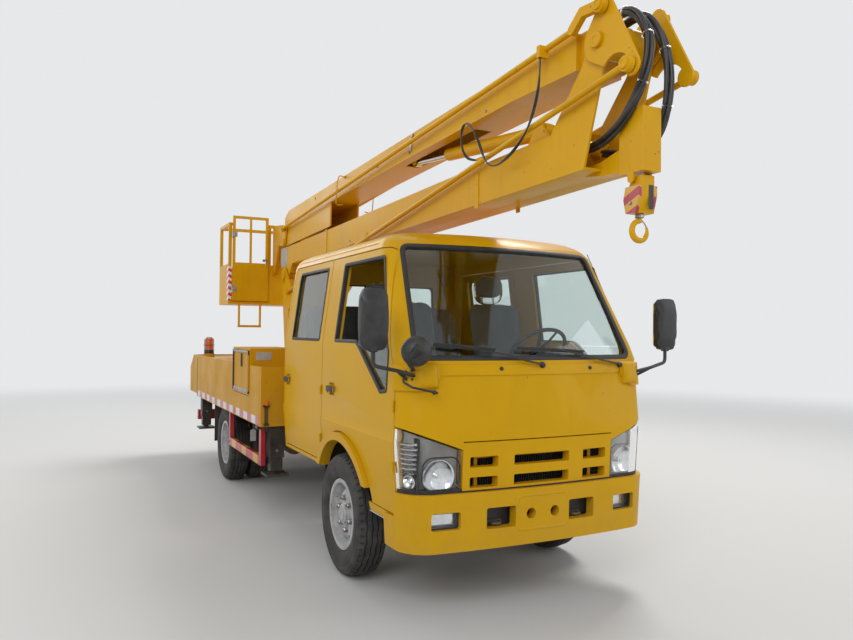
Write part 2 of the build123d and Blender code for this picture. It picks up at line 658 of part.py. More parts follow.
def make_wheels():
    for side, word in ((1, "left"), (-1, "right")):
        x = side * FRONT_TRACK_HALF
        place = Pos(0, 0, AXLE_HEIGHT)
        save("front_tyre_" + word, place * tyre(x))
        wheel = rim(x, side, side * 42, 60)
        hub = bar((side * (FRONT_TRACK_HALF - 10), 0, 0), (side * (FRONT_TRACK_HALF + 85), 0, 0), 62)
        bore = bar((side * (FRONT_TRACK_HALF - 200), 0, 0), (side * (FRONT_TRACK_HALF + 40), 0, 0), 30 + FIT)
        save("front_rim_" + word, place * (wheel + hub - bore))
        spindle = bar((side * (KINGPIN_HALF + 40), 0, 0), (side * (FRONT_TRACK_HALF + 36), 0, 0), 30)
        x0, x1 = span(side, KINGPIN_HALF + 44, KINGPIN_HALF + 66)
        plate = box(x0, x1, -45, 45, -85, 85)
        k0, k1 = span(side, KINGPIN_HALF - 34, KINGPIN_HALF + 66)
        ears = box(k0, k1, -34, 34, 50, 80) + box(k0, k1, -34, 34, -80, -50)
        king = bar((side * KINGPIN_HALF, 0, -120), (side * KINGPIN_HALF, 0, 120), 16 + FIT)
        save("steering_knuckle_" + word, place * (plate + spindle + ears - king))
        place = Pos(0, WHEELBASE, AXLE_HEIGHT)
        save("rear_tyres_" + word, place * tyre(side * TWIN_OUTER), place * tyre(side * TWIN_INNER))
        middle = (TWIN_OUTER + TWIN_INNER) / 2
        outer = rim(side * TWIN_OUTER, -side, -side * (TWIN_OUTER - middle - 6), 60)
        inner = rim(side * TWIN_INNER, side, side * (middle - TWIN_INNER - 6), 60)
        hub = bar((side * (middle - 90), 0, 0), (side * (middle + 150), 0, 0), 80)
        bore = bar((side * 300, 0, 0), (side * (middle + 145), 0, 0), 40 + FIT)
        save("rear_rims_" + word, place * (outer + inner + hub - bore))


DECK_BEAMS = [1830, 2650, 3000, 3900, 4500]
BEAM_BOTTOM = 1120


def make_deck():
    tail_low = SKIRT_BOTTOM + 30
    outline = [(DECK_FRONT, SKIRT_BOTTOM), (DECK_FRONT, SKIRT_TOP), (TAIL_SLOPE_START, SKIRT_TOP),
               (REAR_END, TAIL_SLOPE_END_Z), (REAR_END - 20, tail_low), (TAIL_START, tail_low),
               (TAIL_START, SKIRT_BOTTOM)]
    inner = [(DECK_FRONT + SKIRT_THICK, SKIRT_BOTTOM - 10), (DECK_FRONT + SKIRT_THICK, DECK_TOP - DECK_PLATE),
             (TAIL_SLOPE_START, DECK_TOP - DECK_PLATE), (REAR_END - SKIRT_THICK, TAIL_SLOPE_END_Z - 14),
             (REAR_END - SKIRT_THICK, SKIRT_BOTTOM - 10)]
    tray = side_prism(outline, -DECK_HALF, DECK_HALF)
    tray = tray - side_prism(inner, -DECK_HALF + SKIRT_THICK, DECK_HALF - SKIRT_THICK)
    half = DECK_HALF - SKIRT_THICK
    tray = tray - box(-half, half, DECK_FRONT + SKIRT_THICK, TAIL_SLOPE_START, DECK_TOP, SKIRT_TOP + 50)
    for y in DECK_BEAMS:
        tray = tray + box(-half, half, y, y + 60, BEAM_BOTTOM, DECK_TOP - DECK_PLATE)
    for x in (-RAIL_OUTER, RAIL_OUTER - 70):
        tray = tray + box(x, x + 70, DECK_FRONT + SKIRT_THICK, 5050, RAIL_TOP, DECK_TOP - DECK_PLATE - 60)
    for y in (JACK_FRONT_Y, JACK_REAR_Y):
        tray = tray - box(-RAIL_OUTER - 10, RAIL_OUTER + 10, y - 55, y + 55, RAIL_TOP - 1, RAIL_TOP + 125)
    cut = box(-DECK_HALF - 10, CABINET_INNER, CABINET_FRONT, CABINET_REAR, CABINET_BOTTOM, SKIRT_TOP + 50)
    tray = tray - cut
    tray = tray + Pos(0, SLEW_Y, DECK_TOP - DECK_PLATE) * Solid.make_cylinder(340, 22)
    plate_low = DECK_TOP - DECK_PLATE
    tray = tray + Pos(*BEACON, plate_low) * Solid.make_cylinder(62, BEACON_BASE - plate_low)
    tray = tray + box(*TREAD_PLATE, DECK_TOP - DECK_PLATE, DECK_TOP + TREAD_PROUD)
    save("deck", tray)
    w = CABINET_WALL
    cabinet = box(-DECK_HALF, CABINET_INNER, CABINET_FRONT, CABINET_REAR, CABINET_BOTTOM, CABINET_TOP)
    cabinet = cabinet - box(-DECK_HALF - 10, CABINET_INNER - w, CABINET_FRONT + w, CABINET_REAR - w,
                            CABINET_BOTTOM + w, CABINET_TOP - w)
    save("control_cabinet", cabinet)
    door = box(-DECK_HALF, -DECK_HALF + 18, CABINET_FRONT + w + 5, CABINET_REAR - w - 5,
               CABINET_BOTTOM + w + 5, CABINET_TOP - w - 5)
    hinge = (-DECK_HALF - 7, CABINET_FRONT + w - 1)
    low, high = CABINET_BOTTOM + 60, CABINET_TOP - 60
    door = door + bar((*hinge, low), (*hinge, high), 6)
    door = door + box(hinge[0], -DECK_HALF - 1, hinge[1], hinge[1] + 16, low, high)
    door = door + box(hinge[0], -DECK_HALF + 3, hinge[1] + 7, hinge[1] + 16, low, high)
    save("cabinet_door", door)


def make_guards():
    guards = []
    for side in (1, -1):
        x0, x1 = span(side, 905, 945)
        posts = box(x0, x1, 1630, 1700, 425, SKIRT_BOTTOM) + box(x0, x1, 2870, 2920, 425, SKIRT_BOTTOM)
        guards.append(posts + box(x0, x1, 1630, 2920, 425, 500))
    rear = box(-900, 900, 5010, 5080, 440, 560)
    for side in (1, -1):
        x0, x1 = span(side, 300, 360)
        rear = rear + box(x0, x1, RAIL_REAR, 5010, 440, RAIL_TOP)
    guards.append(rear)
    save("guards", *guards)
    flaps = []
    for side in (1, -1):
        x0, x1 = span(side, 480, 910)
        flaps.append(box(x0, x1, 3860, 3872, 330, SKIRT_BOTTOM))
        x0, x1 = span(side, 560, 765)
        flaps.append(box(x0, x1, 500, 512, 330, FLOOR_TOP - FLOOR_THICK))
    save("mud_flaps", *flaps)
    mirrors = []
    for side in (1, -1):
        head = box(*span(side, 915, 1085), -980, -900, 1450, 1780)
        elbow = (side * 1000, -940, 1380)
        arm = bar((side * 740, -925, 1320), elbow, 14) - vane_form
        arm = arm + bar(elbow, (side * 1000, -940, 1460), 14)
        mirrors.append(fillet(head.edges(), 18) + arm)
    save("mirrors", *mirrors)


def make_outriggers():
    frame = None
    for y in (JACK_FRONT_Y, JACK_REAR_Y):
        beam = box(-JACK_HALF_SPACING, JACK_HALF_SPACING, y - 50, y + 50, RAIL_TOP, RAIL_TOP + 120)
        for side in (1, -1):
            x = side * JACK_HALF_SPACING
            h = JACK_HOUSING / 2
            inner = JACK_HOUSING / 2 - JACK_WALL
            top = JACK_HOUSING_TOP
            beam = beam + box(x - h, x + h, y - h, y + h, JACK_HOUSING_BOTTOM, top)
            beam = beam - box(x - inner, x + inner, y - inner, y + inner, JACK_HOUSING_BOTTOM - 1, top - JACK_WALL)
        frame = beam if frame is None else frame + beam
    save("outrigger_frame", frame)
    for word, side, y in JACKS:
        x = side * JACK_HALF_SPACING
        half = JACK_TUBE / 2
        leg = box(x - half, x + half, y - half, y + half, JACK_FOOT + 40, JACK_HOUSING_TOP - 30)
        pad = box(x - JACK_PAD / 2, x + JACK_PAD / 2, y - JACK_PAD / 2, y + JACK_PAD / 2, JACK_FOOT, JACK_FOOT + 20)
        neck = Pos(x, y, JACK_FOOT + 20) * Solid.make_cylinder(30, 20)
        save("outrigger_leg_" + word, leg + pad + neck)


TURRET_FOOT = DECK_TOP + 65


def lower_rod_pin():
    return (TURRET_PIN[0] + LINK_LOW_PIN[0] - ELBOW_PIN[0], TURRET_PIN[1] + LINK_LOW_PIN[1] - ELBOW_PIN[1])


def upper_rod_pin():
    return (TIP_PIN[0] + LINK_TOP_PIN[0] - ELBOW_PIN[0], TIP_PIN[1] + LINK_TOP_PIN[1] - ELBOW_PIN[1])


def make_turret():
    turret = Pos(0, SLEW_Y, DECK_TOP + 15) * Solid.make_cylinder(350, 50)
    column = [(3270, TURRET_FOOT), (3270, 1790), (3430, 2030), (3870, 2030), (3770, 1600), (3720, TURRET_FOOT)]
    turret = turret + side_prism(column, -CHEEK_IN, CHEEK_IN)
    low = lower_rod_pin()
    foot = TURRET_FOOT + 20
    cheek = [(*TURRET_PIN, 92), (low[0], low[1], 62), (3120, 1520, 62), (3178, foot, 30), (3700, foot, 30)]
    for side in (1, -1):
        x0, x1 = span(side, CHEEK_IN, CHEEK_OUT)
        plate = hull_plate(cheek, x0, x1)
        plate = plate - hull_plate([(3300, 1500, 45), (3560, 1760, 45), (3560, 1500, 45)], x0 - 1, x1 + 1)
        turret = turret + plate
        p0, p1 = span(side, CHEEK_OUT, ROD_OUT + 6)
        turret = turret + pin(low, ROD_PIN + 2, p0, p1)
    turret = turret + pin(TURRET_PIN, TURRET_PIN_RADIUS, -CHEEK_OUT - 12, CHEEK_OUT + 12)
    turret = turret + pin(LUFF_BASE_PIN, 28, -CHEEK_OUT - 10, CHEEK_OUT + 10)
    save("turret", turret)


# Hoses, each a bundle: x, y, z of the route's corners
HOSE_START_Y = -1600
HOSE_START_Z = 3082
HOSE_END_Y = -1470
HOSE_END_Z = 2485
HOSE_RADIUS = 26
GLAND_RADIUS = HOSE_RADIUS + 1
NEAR_HOSE = [
    (-40, HOSE_START_Y, HOSE_START_Z), (-40, -1690, 3110), (-40, -1788, 3088), (-42, -1862, 3018),
    (-46, -1905, 2925), (-54, -1918, 2822), (-68, -1900, 2720), (-84, -1850, 2628), (-90, -1774, 2556),
    (-82, -1680, 2508), (-66, -1576, 2488), (-52, HOSE_END_Y, HOSE_END_Z),
]
FAR_HOSE = [
    (45, HOSE_START_Y, HOSE_START_Z), (46, -1688, 3108), (52, -1780, 3082), (62, -1846, 3008),
    (74, -1880, 2912), (84, -1896, 2806), (90, -1896, 2698), (93, -1878, 2592), (92, -1826, 2502),
    (88, -1740, 2448), (78, -1640, 2440), (60, -1550, 2468), (52, HOSE_END_Y, HOSE_END_Z),
]
CABLE_X = -226
CABLE_RADIUS = 8
SIDE_CABLE = [
    (CABLE_X, -1299, 3006), (CABLE_X, -1300, 2916), (CABLE_X, -1286, 2826), (CABLE_X, -1252, 2738),
    (CABLE_X, -1202, 2658), (CABLE_X, -1130, 2596), (CABLE_X, -1044, 2550), (CABLE_X, -950, 2520),
    (CABLE_X, -856, 2508), (CABLE_X, -772, 2538), (CABLE_X, -718, 2608), (CABLE_X, -676, 2688),
    (CABLE_X, -620, 2758), (-222, -562, 2816), (-214, -500, 2852), (-204, -436, 2846), (-196, -398, 2796),
    (-188, -392, 2732), (-178, -414, 2672), (-164, -460, 2632), (-146, -520, 2622),
]
CABLE_LUG = (-148, -118, -566, -536)
CABLE_CLAMP = (CABLE_X - 12, -ROD_IN - 4, -1313, -1285, 2990, 3052)


def gland(route, length, radius):
    """The stub that a hose's end is pushed into, in line with the route's first run."""
    start = Vector(*route[0])
    way = (Vector(*route[1]) - start).normalized()
    return bar(route[0], tuple(start - way * length), radius)


# Lower boom
NECK_REAR = -1290
MOUTH_Y = -1400
MOUTH_FLOOR = 2374
LOWER_OUTLINE = [
    (3980, 2300), (3980, 2500), (0, 2574), (NECK_REAR, 2592), (-1542, 2864), (-1620, 2990), (-1775, 2935),
    (-1729, 2878), (-1566, 2362), (-917, 2348), (544, 2323), (3300, 2305),
]
POST = (-56, 56, -1880, -1720, 2310, 2610)
LUG = 14


def make_lower_boom():
    face = make_face(Polyline(*LOWER_OUTLINE, close=True))
    inner = LOWER_HALF - LOWER_WALL
    boom = extrude(Plane.YZ.offset(-LOWER_HALF) * face, amount=2 * LOWER_HALF)
    boom = boom + pin(ELBOW_PIN, 92, -LOWER_HALF, LOWER_HALF)
    core = extrude(Plane.YZ.offset(-inner) * offset(face, -LOWER_WALL, kind=Kind.INTERSECTION), amount=2 * inner)
    boom = boom - (core & box(-inner, inner, MOUTH_Y + LOWER_WALL, 3900, 2200, 2600))
    boom = boom - box(-inner, inner, -2100, MOUTH_Y, MOUTH_FLOOR, 3200)
    boom = boom - box(-inner, inner, MOUTH_Y - 1, NECK_REAR, 2592 + 8, 3200)
    for side in (1, -1):
        x0, x1 = span(side, inner, LOWER_HALF)
        tail = hull_plate([(*TURRET_PIN, 92), (3560, 2330, 20), (3950, 2330, 20)], x0, x1)
        x0, x1 = span(side, 52, 52 + LUG)
        eye = hull_plate([(*LUFF_ROD_PIN, 46), (1600, 2330, 12), (1900, 2330, 12)], x0, x1)
        eye = eye + hull_plate([(*FOLD_BASE_PIN, 40), (-1180, 2580, 12), (-940, 2580, 12)], x0, x1)
        boom = boom + tail + eye
    boom = boom - pin(TURRET_PIN, TURRET_PIN_RADIUS + FIT, -300, 300)
    boom = boom - pin(ELBOW_PIN, ELBOW_PIN_RADIUS + FIT, -300, 300)
    boom = boom + pin(FOLD_BASE_PIN, 20, -52 - LUG, 52 + LUG)
    arm = [(-1725, 2330), (-1725, 2450), (-1560, 2410), (MOUTH_Y + 5, 2400), (MOUTH_Y + 5, 2366), (-1560, 2340)]
    boom = boom + box(*POST) + side_prism(arm, -36, 36)
    for side in (1, -1):
        x0, x1 = span(side, 46, 58)
        boom = boom + hull_plate([(*HOOK_PIN, 20), (HOOK_PIN[0] - 14, 2318, 6), (HOOK_PIN[0] + 14, 2318, 6)], x0, x1)
    boom = boom + pin(HOOK_PIN, 10, -58, 58)
    for route in (NEAR_HOSE, FAR_HOSE):
        boom = boom + gland(route[::-1], 76, GLAND_RADIUS)
    cable_end = SIDE_CABLE[-1]
    boom = boom + gland(SIDE_CABLE[::-1], 30, CABLE_RADIUS + 4)
    boom = boom + box(*CABLE_LUG, 2578, cable_end[2] + 12)
    save("lower_boom", boom)


def make_links():
    plates = []
    lobes = [(*ELBOW_PIN, 104), (*LINK_TOP_PIN, 50), (*LINK_LOW_PIN, 48)]
    arc = (ELBOW_PIN[0] - 122, ELBOW_PIN[1] - 212, 106)
    for side in (1, -1):
        x0, x1 = span(side, LINK_IN, LINK_OUT)
        plate = hull_plate(lobes, x0, x1) - pin(arc[:2], arc[2], x0 - 1, x1 + 1)
        plate = plate + pin(LINK_LOW_PIN, 48, x0, x1)
        p0, p1 = span(side, LINK_OUT, ROD_OUT + 6)
        plates.append(plate + pin(LINK_TOP_PIN, ROD_PIN, p0, p1) + pin(LINK_LOW_PIN, ROD_PIN, p0, p1))
    shaft = pin(ELBOW_PIN, ELBOW_PIN_RADIUS, -LINK_OUT - 14, LINK_OUT + 14)
    save("elbow_links", plates[0] + shaft + plates[1])


def tie_rods(route, front_radius, rear_radius):
    """The left and right rod along a route of (y, z) places, its bends as flat arms and its last run round."""
    rods = []
    front, rear = route[0], route[-1]
    neck = route[-2]
    run = Vector(rear[0] - neck[0], rear[1] - neck[1]).normalized()
    for side in (1, -1):
        x = side * (ROD_IN + ROD_OUT) / 2
        x0, x1 = span(side, ROD_IN, ROD_OUT)
        start = (x, neck[0] + 12 * run.X, neck[1] + 12 * run.Y)
        end = (x, rear[0] - 24 * run.X, rear[1] - 24 * run.Y)
        rod = bar(start, end, ROD_RADIUS) + pin(front, ROD_EYE, x0, x1) + pin(rear, ROD_EYE, x0, x1)
        for here, there in zip(route[:-2], route[1:-1]):
            rod = rod + hull_plate([(*here, 24), (*there, 24)], x0, x1)
        rod = rod - pin(front, front_radius + FIT, -300, 300) - pin(rear, rear_radius + FIT, -300, 300)
        rods.append(rod)
    return rods


# Upper boom
UPPER_OUTLINE = [
    (-1500, 2873), (-1500, 3063), (-1224, 3067), (414, 3025), (3720, 2915), (3880, 2850), (3880, 2768),
    (2940, 2768), (1600, 2815), (434, 2849), (-900, 2880),
]
UPPER_NECK_OUTLINE = [(-1490, 2874), (-1560, 2874), (-1650, 2900), (-1655, 3010), (-1590, 3062), (-1490, 3063)]
FOLD_SLOT = (-60, 60, -350, 740)


def make_upper_boom():
    face = make_face(Polyline(*UPPER_OUTLINE, close=True))
    inner = UPPER_HALF - UPPER_WALL
    boom = extrude(Plane.YZ.offset(-UPPER_HALF) * face, amount=2 * UPPER_HALF)
    core = offset(face, -UPPER_WALL, kind=Kind.INTERSECTION)
    boom = boom - extrude(Plane.YZ.offset(-inner) * core, amount=2 * inner)
    boom = boom - box(*FOLD_SLOT, 2800, 2900)
    boom = boom + side_prism(UPPER_NECK_OUTLINE, -UPPER_NECK, UPPER_NECK)
    boom = boom + pin(ELBOW_PIN, 82, -UPPER_NECK, UPPER_NECK)
    boom = boom - pin(ELBOW_PIN, ELBOW_PIN_RADIUS + FIT, -300, 300)
    tip = [(2300, 2780, 30), (2300, 2575, 16), (3790, 2546, 20), (*TIP_PIN, 52), (3866, 2760, 14)]
    for side in (1, -1):
        x0, x1 = span(side, UPPER_HALF - LUG, UPPER_HALF)
        boom = boom + hull_plate(tip, x0, x1)
        x0, x1 = span(side, 30, 30 + LUG)
        boom = boom + hull_plate([(*FOLD_ROD_PIN, 30), (540, 3010, 8), (720, 3005, 8)], x0, x1)
    boom = boom - pin(TIP_PIN, TIP_PIN_RADIUS + FIT, -300, 300)
    for route in (NEAR_HOSE, FAR_HOSE):
        boom = boom + gland(route, 66, GLAND_RADIUS)
    save("upper_boom", boom)


def hose(name, route, radius):
    """A flexible line as straight runs joined by the largest arcs that they allow."""
    points = [Vector(*place) for place in route]
    radii = []
    for before, corner, after in zip(points, points[1:], points[2:]):
        run_in, run_out = corner - before, after - corner
        half_turn = math.radians(run_in.get_angle(run_out)) / 2
        radii.append(0.45 * min(run_in.length, run_out.length) / math.tan(half_turn))
    path = FilletPolyline(*route, radius=radii)
    section = Plane(origin=route[0], z_dir=points[1] - points[0]) * Circle(radius)
    tube = sweep(section, path=path)
    print(name, "radii", round(min(radii)), "to", round(max(radii)), "length", round(path.length),
          "volume share", round(tube.volume / (math.pi * radius ** 2 * path.length), 4))
    save(name, tube)


def cylinder_pair(base, eye, barrel_radius, rod_radius, barrel_share, eye_width, base_pin, names):
    """A hydraulic cylinder from its base pin to its rod's eye, both (y, z)."""
    run = Vector(0, eye[0] - base[0], eye[1] - base[1])
    way = run.normalized()
    start = Vector(0, base[0], base[1])
    mouth = start + run * barrel_share
    foot = start + way * (barrel_radius * 0.8)
    barrel = bar(tuple(foot), tuple(mouth), barrel_radius)
    barrel = barrel + pin(base, barrel_radius, -eye_width, eye_width)
    barrel = barrel - pin(base, base_pin + FIT, -300, 300)
    hole_end = start + way * (barrel_radius + 60)
    barrel = barrel - bar(tuple(hole_end), tuple(mouth + way), rod_radius + FIT)
    save(names[0], barrel)
    rod = bar(tuple(hole_end + way * 20), tuple(start + run - way * 20), rod_radius)
    eye_end = pin(eye, rod_radius + 14, -eye_width + 18, eye_width - 18)
    save(names[1], rod + eye_end)


def make_basket():
    t = BASKET_TUBE
    f, r, h = BASKET_FRONT, BASKET_REAR, BASKET_HALF
    floor_z, ring = BASKET_FLOOR, BASKET_RING
    cage = box(-h, h, f, r, floor_z, floor_z + 30)
    for x in (-h, h - t):
        for y in (f, r - t):
            cage = cage + box(x, x + t, y, y + t, floor_z, ring)
    for y in (f, r - t):
        cage = cage + box(-h, h, y, y + t, ring - t, ring)
    for x in (-h, h - t):
        cage = cage + box(x, x + t, f, r, ring - t, ring)
    panel_top = 2335
    cage = cage + box(-h, -h + 4, f, r, floor_z, panel_top) + box(h - 4, h, f, r, floor_z, panel_top)
    cage = cage + box(-h, h, r - 4, r, floor_z, panel_top)
    gate_end = GATE_HINGE_X + GATE_WIDTH
    cage = cage + box(gate_end + 6, h, f, f + 4, floor_z, panel_top)
    cage = cage + box(gate_end + 6, gate_end + 6 + t, f, f + t, floor_z, ring)
    cage = cage - box(GATE_HINGE_X + 6, gate_end + 6, f - 5, f + t + 5, floor_z + 31, ring + 5)
    rod_pin = upper_rod_pin()
    for side in (1, -1):
        x0, x1 = span(side, FORK_IN, FORK_OUT)
        cage = cage + hull_plate([(*rod_pin, 44), (*TIP_PIN, 50), (4060, 2600, 50), (4290, 2780, 30)], x0, x1)
        cage = cage + side_prism([(4070, 2553), (4200, 2780), (f, 2810), (f, 2200), (4250, 2240)], x0, x1)
        p0, p1 = span(side, FORK_OUT, ROD_OUT + 6)
        cage = cage + pin(rod_pin, ROD_PIN, p0, p1)
    cage = cage + pin(TIP_PIN, TIP_PIN_RADIUS, -FORK_OUT - 6, FORK_OUT + 6)
    cage = cage + box(-FORK_OUT, FORK_OUT, f - 10, f, 2200, 2810)
    for x in (-560, -310):
        cage = cage + bar((x, f + 15, 1600), (x, f + 15, floor_z + 5), 13)
    cage = cage + bar((-573, f + 15, 1600), (-297, f + 15, 1600), 13)
    save("basket", cage)
    gx = GATE_HINGE_X
    gate = box(gx, gx + GATE_WIDTH, f - 36, f - 6, floor_z + 40, GATE_TOP)
    gate = gate - box(gx + 30, gx + GATE_WIDTH - 30, f - 40, f, 2350, GATE_TOP - 30)
    gate = gate - box(gx + 30, gx + GATE_WIDTH - 30, f - 28, f, floor_z + 70, 2320)
    gate = gate + box(gx + GATE_WIDTH / 2 - 12, gx + GATE_WIDTH / 2 + 12, f - 36, f - 12, 2320, GATE_TOP)
    for z in (2040, 2680):
        gate = gate + bar((gx - 4, f - 38, z - 35), (gx - 4, f - 38, z + 35), 8)
    save("basket_gate", gate)


def make_hook():
    y, z = HOOK_PIN
    eye = hull_plate([(y, z, 20), (y, z - 46, 14)], -40, 40) - pin(HOOK_PIN, 10 + FIT, -60, 60)
    block = [(y - 32, z - 34), (y + 32, z - 34), (y + 32, z - 130), (y + 16, z - 168), (y - 16, z - 168)]
    block = side_prism(block + [(y - 32, z - 130)], -44, 44)
    shank = Pos(0, y, z - 205) * Solid.make_cylinder(15, 45)
    ring = Plane(origin=(0, y, z - 242), z_dir=(1, 0, 0)) * Torus(46, 15)
    ring = ring - box(-60, 60, y - 90, y, z - 242, z - 196)
    save("hook", eye + block + shank + ring)


make_cab()
make_doors()
make_front()
make_inside()
make_chassis()
make_axles()
make_wheels()
make_deck()
make_guards()
make_outriggers()
make_turret()
make_lower_boom()
make_links()
save("lower_tie_rods", *tie_rods([LINK_LOW_PIN, lower_rod_pin()], ROD_PIN, ROD_PIN + 2))
make_upper_boom()
upper_rods = tie_rods([LINK_TOP_PIN, (-1612, 3112), (-1535, 3052), upper_rod_pin()], ROD_PIN, ROD_PIN)
save("upper_tie_rods", upper_rods[0], upper_rods[1] + (box(*CABLE_CLAMP) - bar(SIDE_CABLE[1], SIDE_CABLE[0], 9)))
cylinder_pair(LUFF_BASE_PIN, LUFF_ROD_PIN, 60, 32, 0.86, 50, 28, ("luff_barrel", "luff_rod"))
cylinder_pair(FOLD_BASE_PIN, FOLD_ROD_PIN, 44, 24, 0.70, 40, 20, ("fold_barrel", "fold_rod"))
make_basket()
make_hook()
hose("near_hose", NEAR_HOSE, HOSE_RADIUS)
hose("far_hose", FAR_HOSE, HOSE_RADIUS)
hose("side_cable", SIDE_CABLE, CABLE_RADIUS)

for node, shape in pieces.items():
    export_step(shape, "parts/" + node + ".step")
print(len(pieces), "nodes written")
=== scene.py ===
import bpy
import bmesh
import json
import math
import numpy as np
from mathutils import Matrix, Vector


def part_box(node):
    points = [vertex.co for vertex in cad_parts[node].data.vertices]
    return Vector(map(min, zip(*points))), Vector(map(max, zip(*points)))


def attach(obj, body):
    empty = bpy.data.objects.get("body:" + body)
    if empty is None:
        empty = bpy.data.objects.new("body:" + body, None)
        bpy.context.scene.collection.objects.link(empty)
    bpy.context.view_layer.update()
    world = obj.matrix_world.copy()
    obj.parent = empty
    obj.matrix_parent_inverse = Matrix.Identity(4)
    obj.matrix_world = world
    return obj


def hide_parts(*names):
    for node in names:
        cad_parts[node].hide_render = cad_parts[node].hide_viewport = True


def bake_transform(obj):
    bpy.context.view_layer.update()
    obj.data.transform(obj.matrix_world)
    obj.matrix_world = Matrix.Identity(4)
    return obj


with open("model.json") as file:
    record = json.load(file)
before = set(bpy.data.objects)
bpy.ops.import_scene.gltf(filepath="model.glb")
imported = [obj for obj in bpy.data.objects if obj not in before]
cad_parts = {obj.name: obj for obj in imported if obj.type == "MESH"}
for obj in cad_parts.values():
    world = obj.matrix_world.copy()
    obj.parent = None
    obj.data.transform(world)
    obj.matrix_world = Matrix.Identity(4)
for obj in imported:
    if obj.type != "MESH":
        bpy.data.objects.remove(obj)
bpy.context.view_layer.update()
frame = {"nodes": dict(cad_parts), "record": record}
scene = bpy.context.scene
palette = {}

# Everything below is placed in metres from the front axle: X to the truck's left, Y rearwards, Z up.
# addPiece moves it along Y to where that axle is in the frame.
axleY = sum(corner[1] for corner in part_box("front_tyre_left")) / 2


# camera: fitted to the photo from the truck's own edges
camera = {"place": (-2.446, -4.482, 1.552), "yaw": 0.4593, "pitch": 0.0162, "roll": 0.0099, "lens": 31.18}


# the view direction from yaw and pitch, then the picture's sides turned by the roll
def makeCamera(s):
    look = Vector((math.sin(s["yaw"]) * math.cos(s["pitch"]), math.cos(s["yaw"]) * math.cos(s["pitch"]),
                   math.sin(s["pitch"])))
    right = Vector((math.cos(s["yaw"]), -math.sin(s["yaw"]), 0))
    up = right.cross(look)
    side = right * math.cos(s["roll"]) + up * math.sin(s["roll"])
    top = up * math.cos(s["roll"]) - right * math.sin(s["roll"])
    data = bpy.data.cameras.new("camera")
    data.lens = s["lens"]
    data.sensor_width = 36
    cam = bpy.data.objects.new("camera", data)
    turn = Matrix((side, top, -look)).transposed()
    cam.matrix_world = Matrix.Translation(Vector(s["place"]) + Vector((0, axleY, 0))) @ turn.to_4x4()
    scene.collection.objects.link(cam)
    scene.camera = cam


makeCamera(camera)
print("camera ready")


# shapes as arrays: each maker gives (points, faces), joined lists of them become one piece


# quads over a grid of nu by nv points, wrapped round in u or v where it is closed
def gridFaces(nu, nv, closeU=False, closeV=False):
    i = np.arange(nu if closeU else nu - 1)
    j = np.arange(nv if closeV else nv - 1)
    i, j = np.meshgrid(i, j, indexing="ij")
    a, b = (i + 1) % nu, (j + 1) % nv
    quads = np.stack([i * nv + j, a * nv + j, a * nv + b, i * nv + b], axis=-1)
    return quads.reshape(-1, 4).tolist()


# so many angles at even steps round a full turn
def evenAngles(count):
    return np.linspace(0, 2 * math.pi, count, endpoint=False)


# a grid of points as (points, faces)
def surface(points, closeU=False, closeV=False, flip=False):
    faces = gridFaces(*points.shape[:2], closeU, closeV)
    if flip:
        faces = [face[::-1] for face in faces]
    return points.reshape(-1, 3), faces


# a profile of (radius, height) turned round an axis: point = centre + height * axis + radius * ring(angle)
def revolve(profile, centre, axis, sides=48):
    axis = np.array(axis, float) / np.linalg.norm(axis)
    helper = np.array((0.0, 0, 1) if abs(axis[2]) < 0.9 else (0.0, 1, 0))
    e1 = np.cross(helper, axis)
    e1 /= np.linalg.norm(e1)
    e2 = np.cross(axis, e1)
    angle = evenAngles(sides)
    profile = np.array(profile, float)
    ring = np.cos(angle)[:, None] * e1 + np.sin(angle)[:, None] * e2
    points = (np.array(centre, float) + profile[:, 1][:, None, None] * axis
              + profile[:, 0][:, None, None] * ring[None, :, :])
    verts, faces = surface(points, closeV=True)
    for edge, order in ((0, 1), (len(profile) - 1, -1)):
        if profile[edge][0] > 1e-6:
            faces.append([edge * sides + k for k in range(sides)][::-order])
    return verts, faces


# unit tangents and two normals carried along a path without twist
def framesAlong(path, closed=False):
    path = np.array(path, float)
    ahead = np.roll(path, -1, 0) - np.roll(path, 1, 0)
    if not closed:
        ahead[0] = path[1] - path[0]
        ahead[-1] = path[-1] - path[-2]
    ahead /= np.linalg.norm(ahead, axis=1)[:, None]
    side = np.zeros_like(ahead)
    start = np.cross(ahead[0], (0, 0, 1)) if abs(ahead[0][2]) < 0.9 else np.cross(ahead[0], (1, 0, 0))
    side[0] = start / np.linalg.norm(start)
    for k in range(1, len(path)):
        side[k] = side[k - 1] - ahead[k] * np.dot(side[k - 1], ahead[k])
        side[k] /= np.linalg.norm(side[k])
    return path, ahead, side, np.cross(ahead, side)


# the two end faces of a swept section of n points in so many rows
def endCaps(n, rows):
    return [list(range(n))[::-1], [(rows - 1) * n + k for k in range(n)]]


# a section of (side, up) carried along a path: point = path + side * a + up * b
def sweep(path, section, closed=False, scale=None):
    path, _, side, up = framesAlong(path, closed)
    section = np.array(section, float)
    grow = np.ones(len(path)) if scale is None else np.array(scale, float)
    points = (path[:, None, :] + section[:, 0][None, :, None] * side[:, None, :] * grow[:, None, None]
              + section[:, 1][None, :, None] * up[:, None, :] * grow[:, None, None])
    verts, faces = surface(points, closeU=closed, closeV=True)
    n = len(section)
    if not closed:
        faces += endCaps(n, len(path))
    return verts, faces


# points (r cos, r sin) at even angles
def circle(radius, sides=12):
    angle = evenAngles(sides)
    return np.stack([radius * np.cos(angle), radius * np.sin(angle)], axis=1)


# a round section carried along a path
def tube(path, radius, sides=12, closed=False):
    return sweep(path, circle(radius, sides), closed)


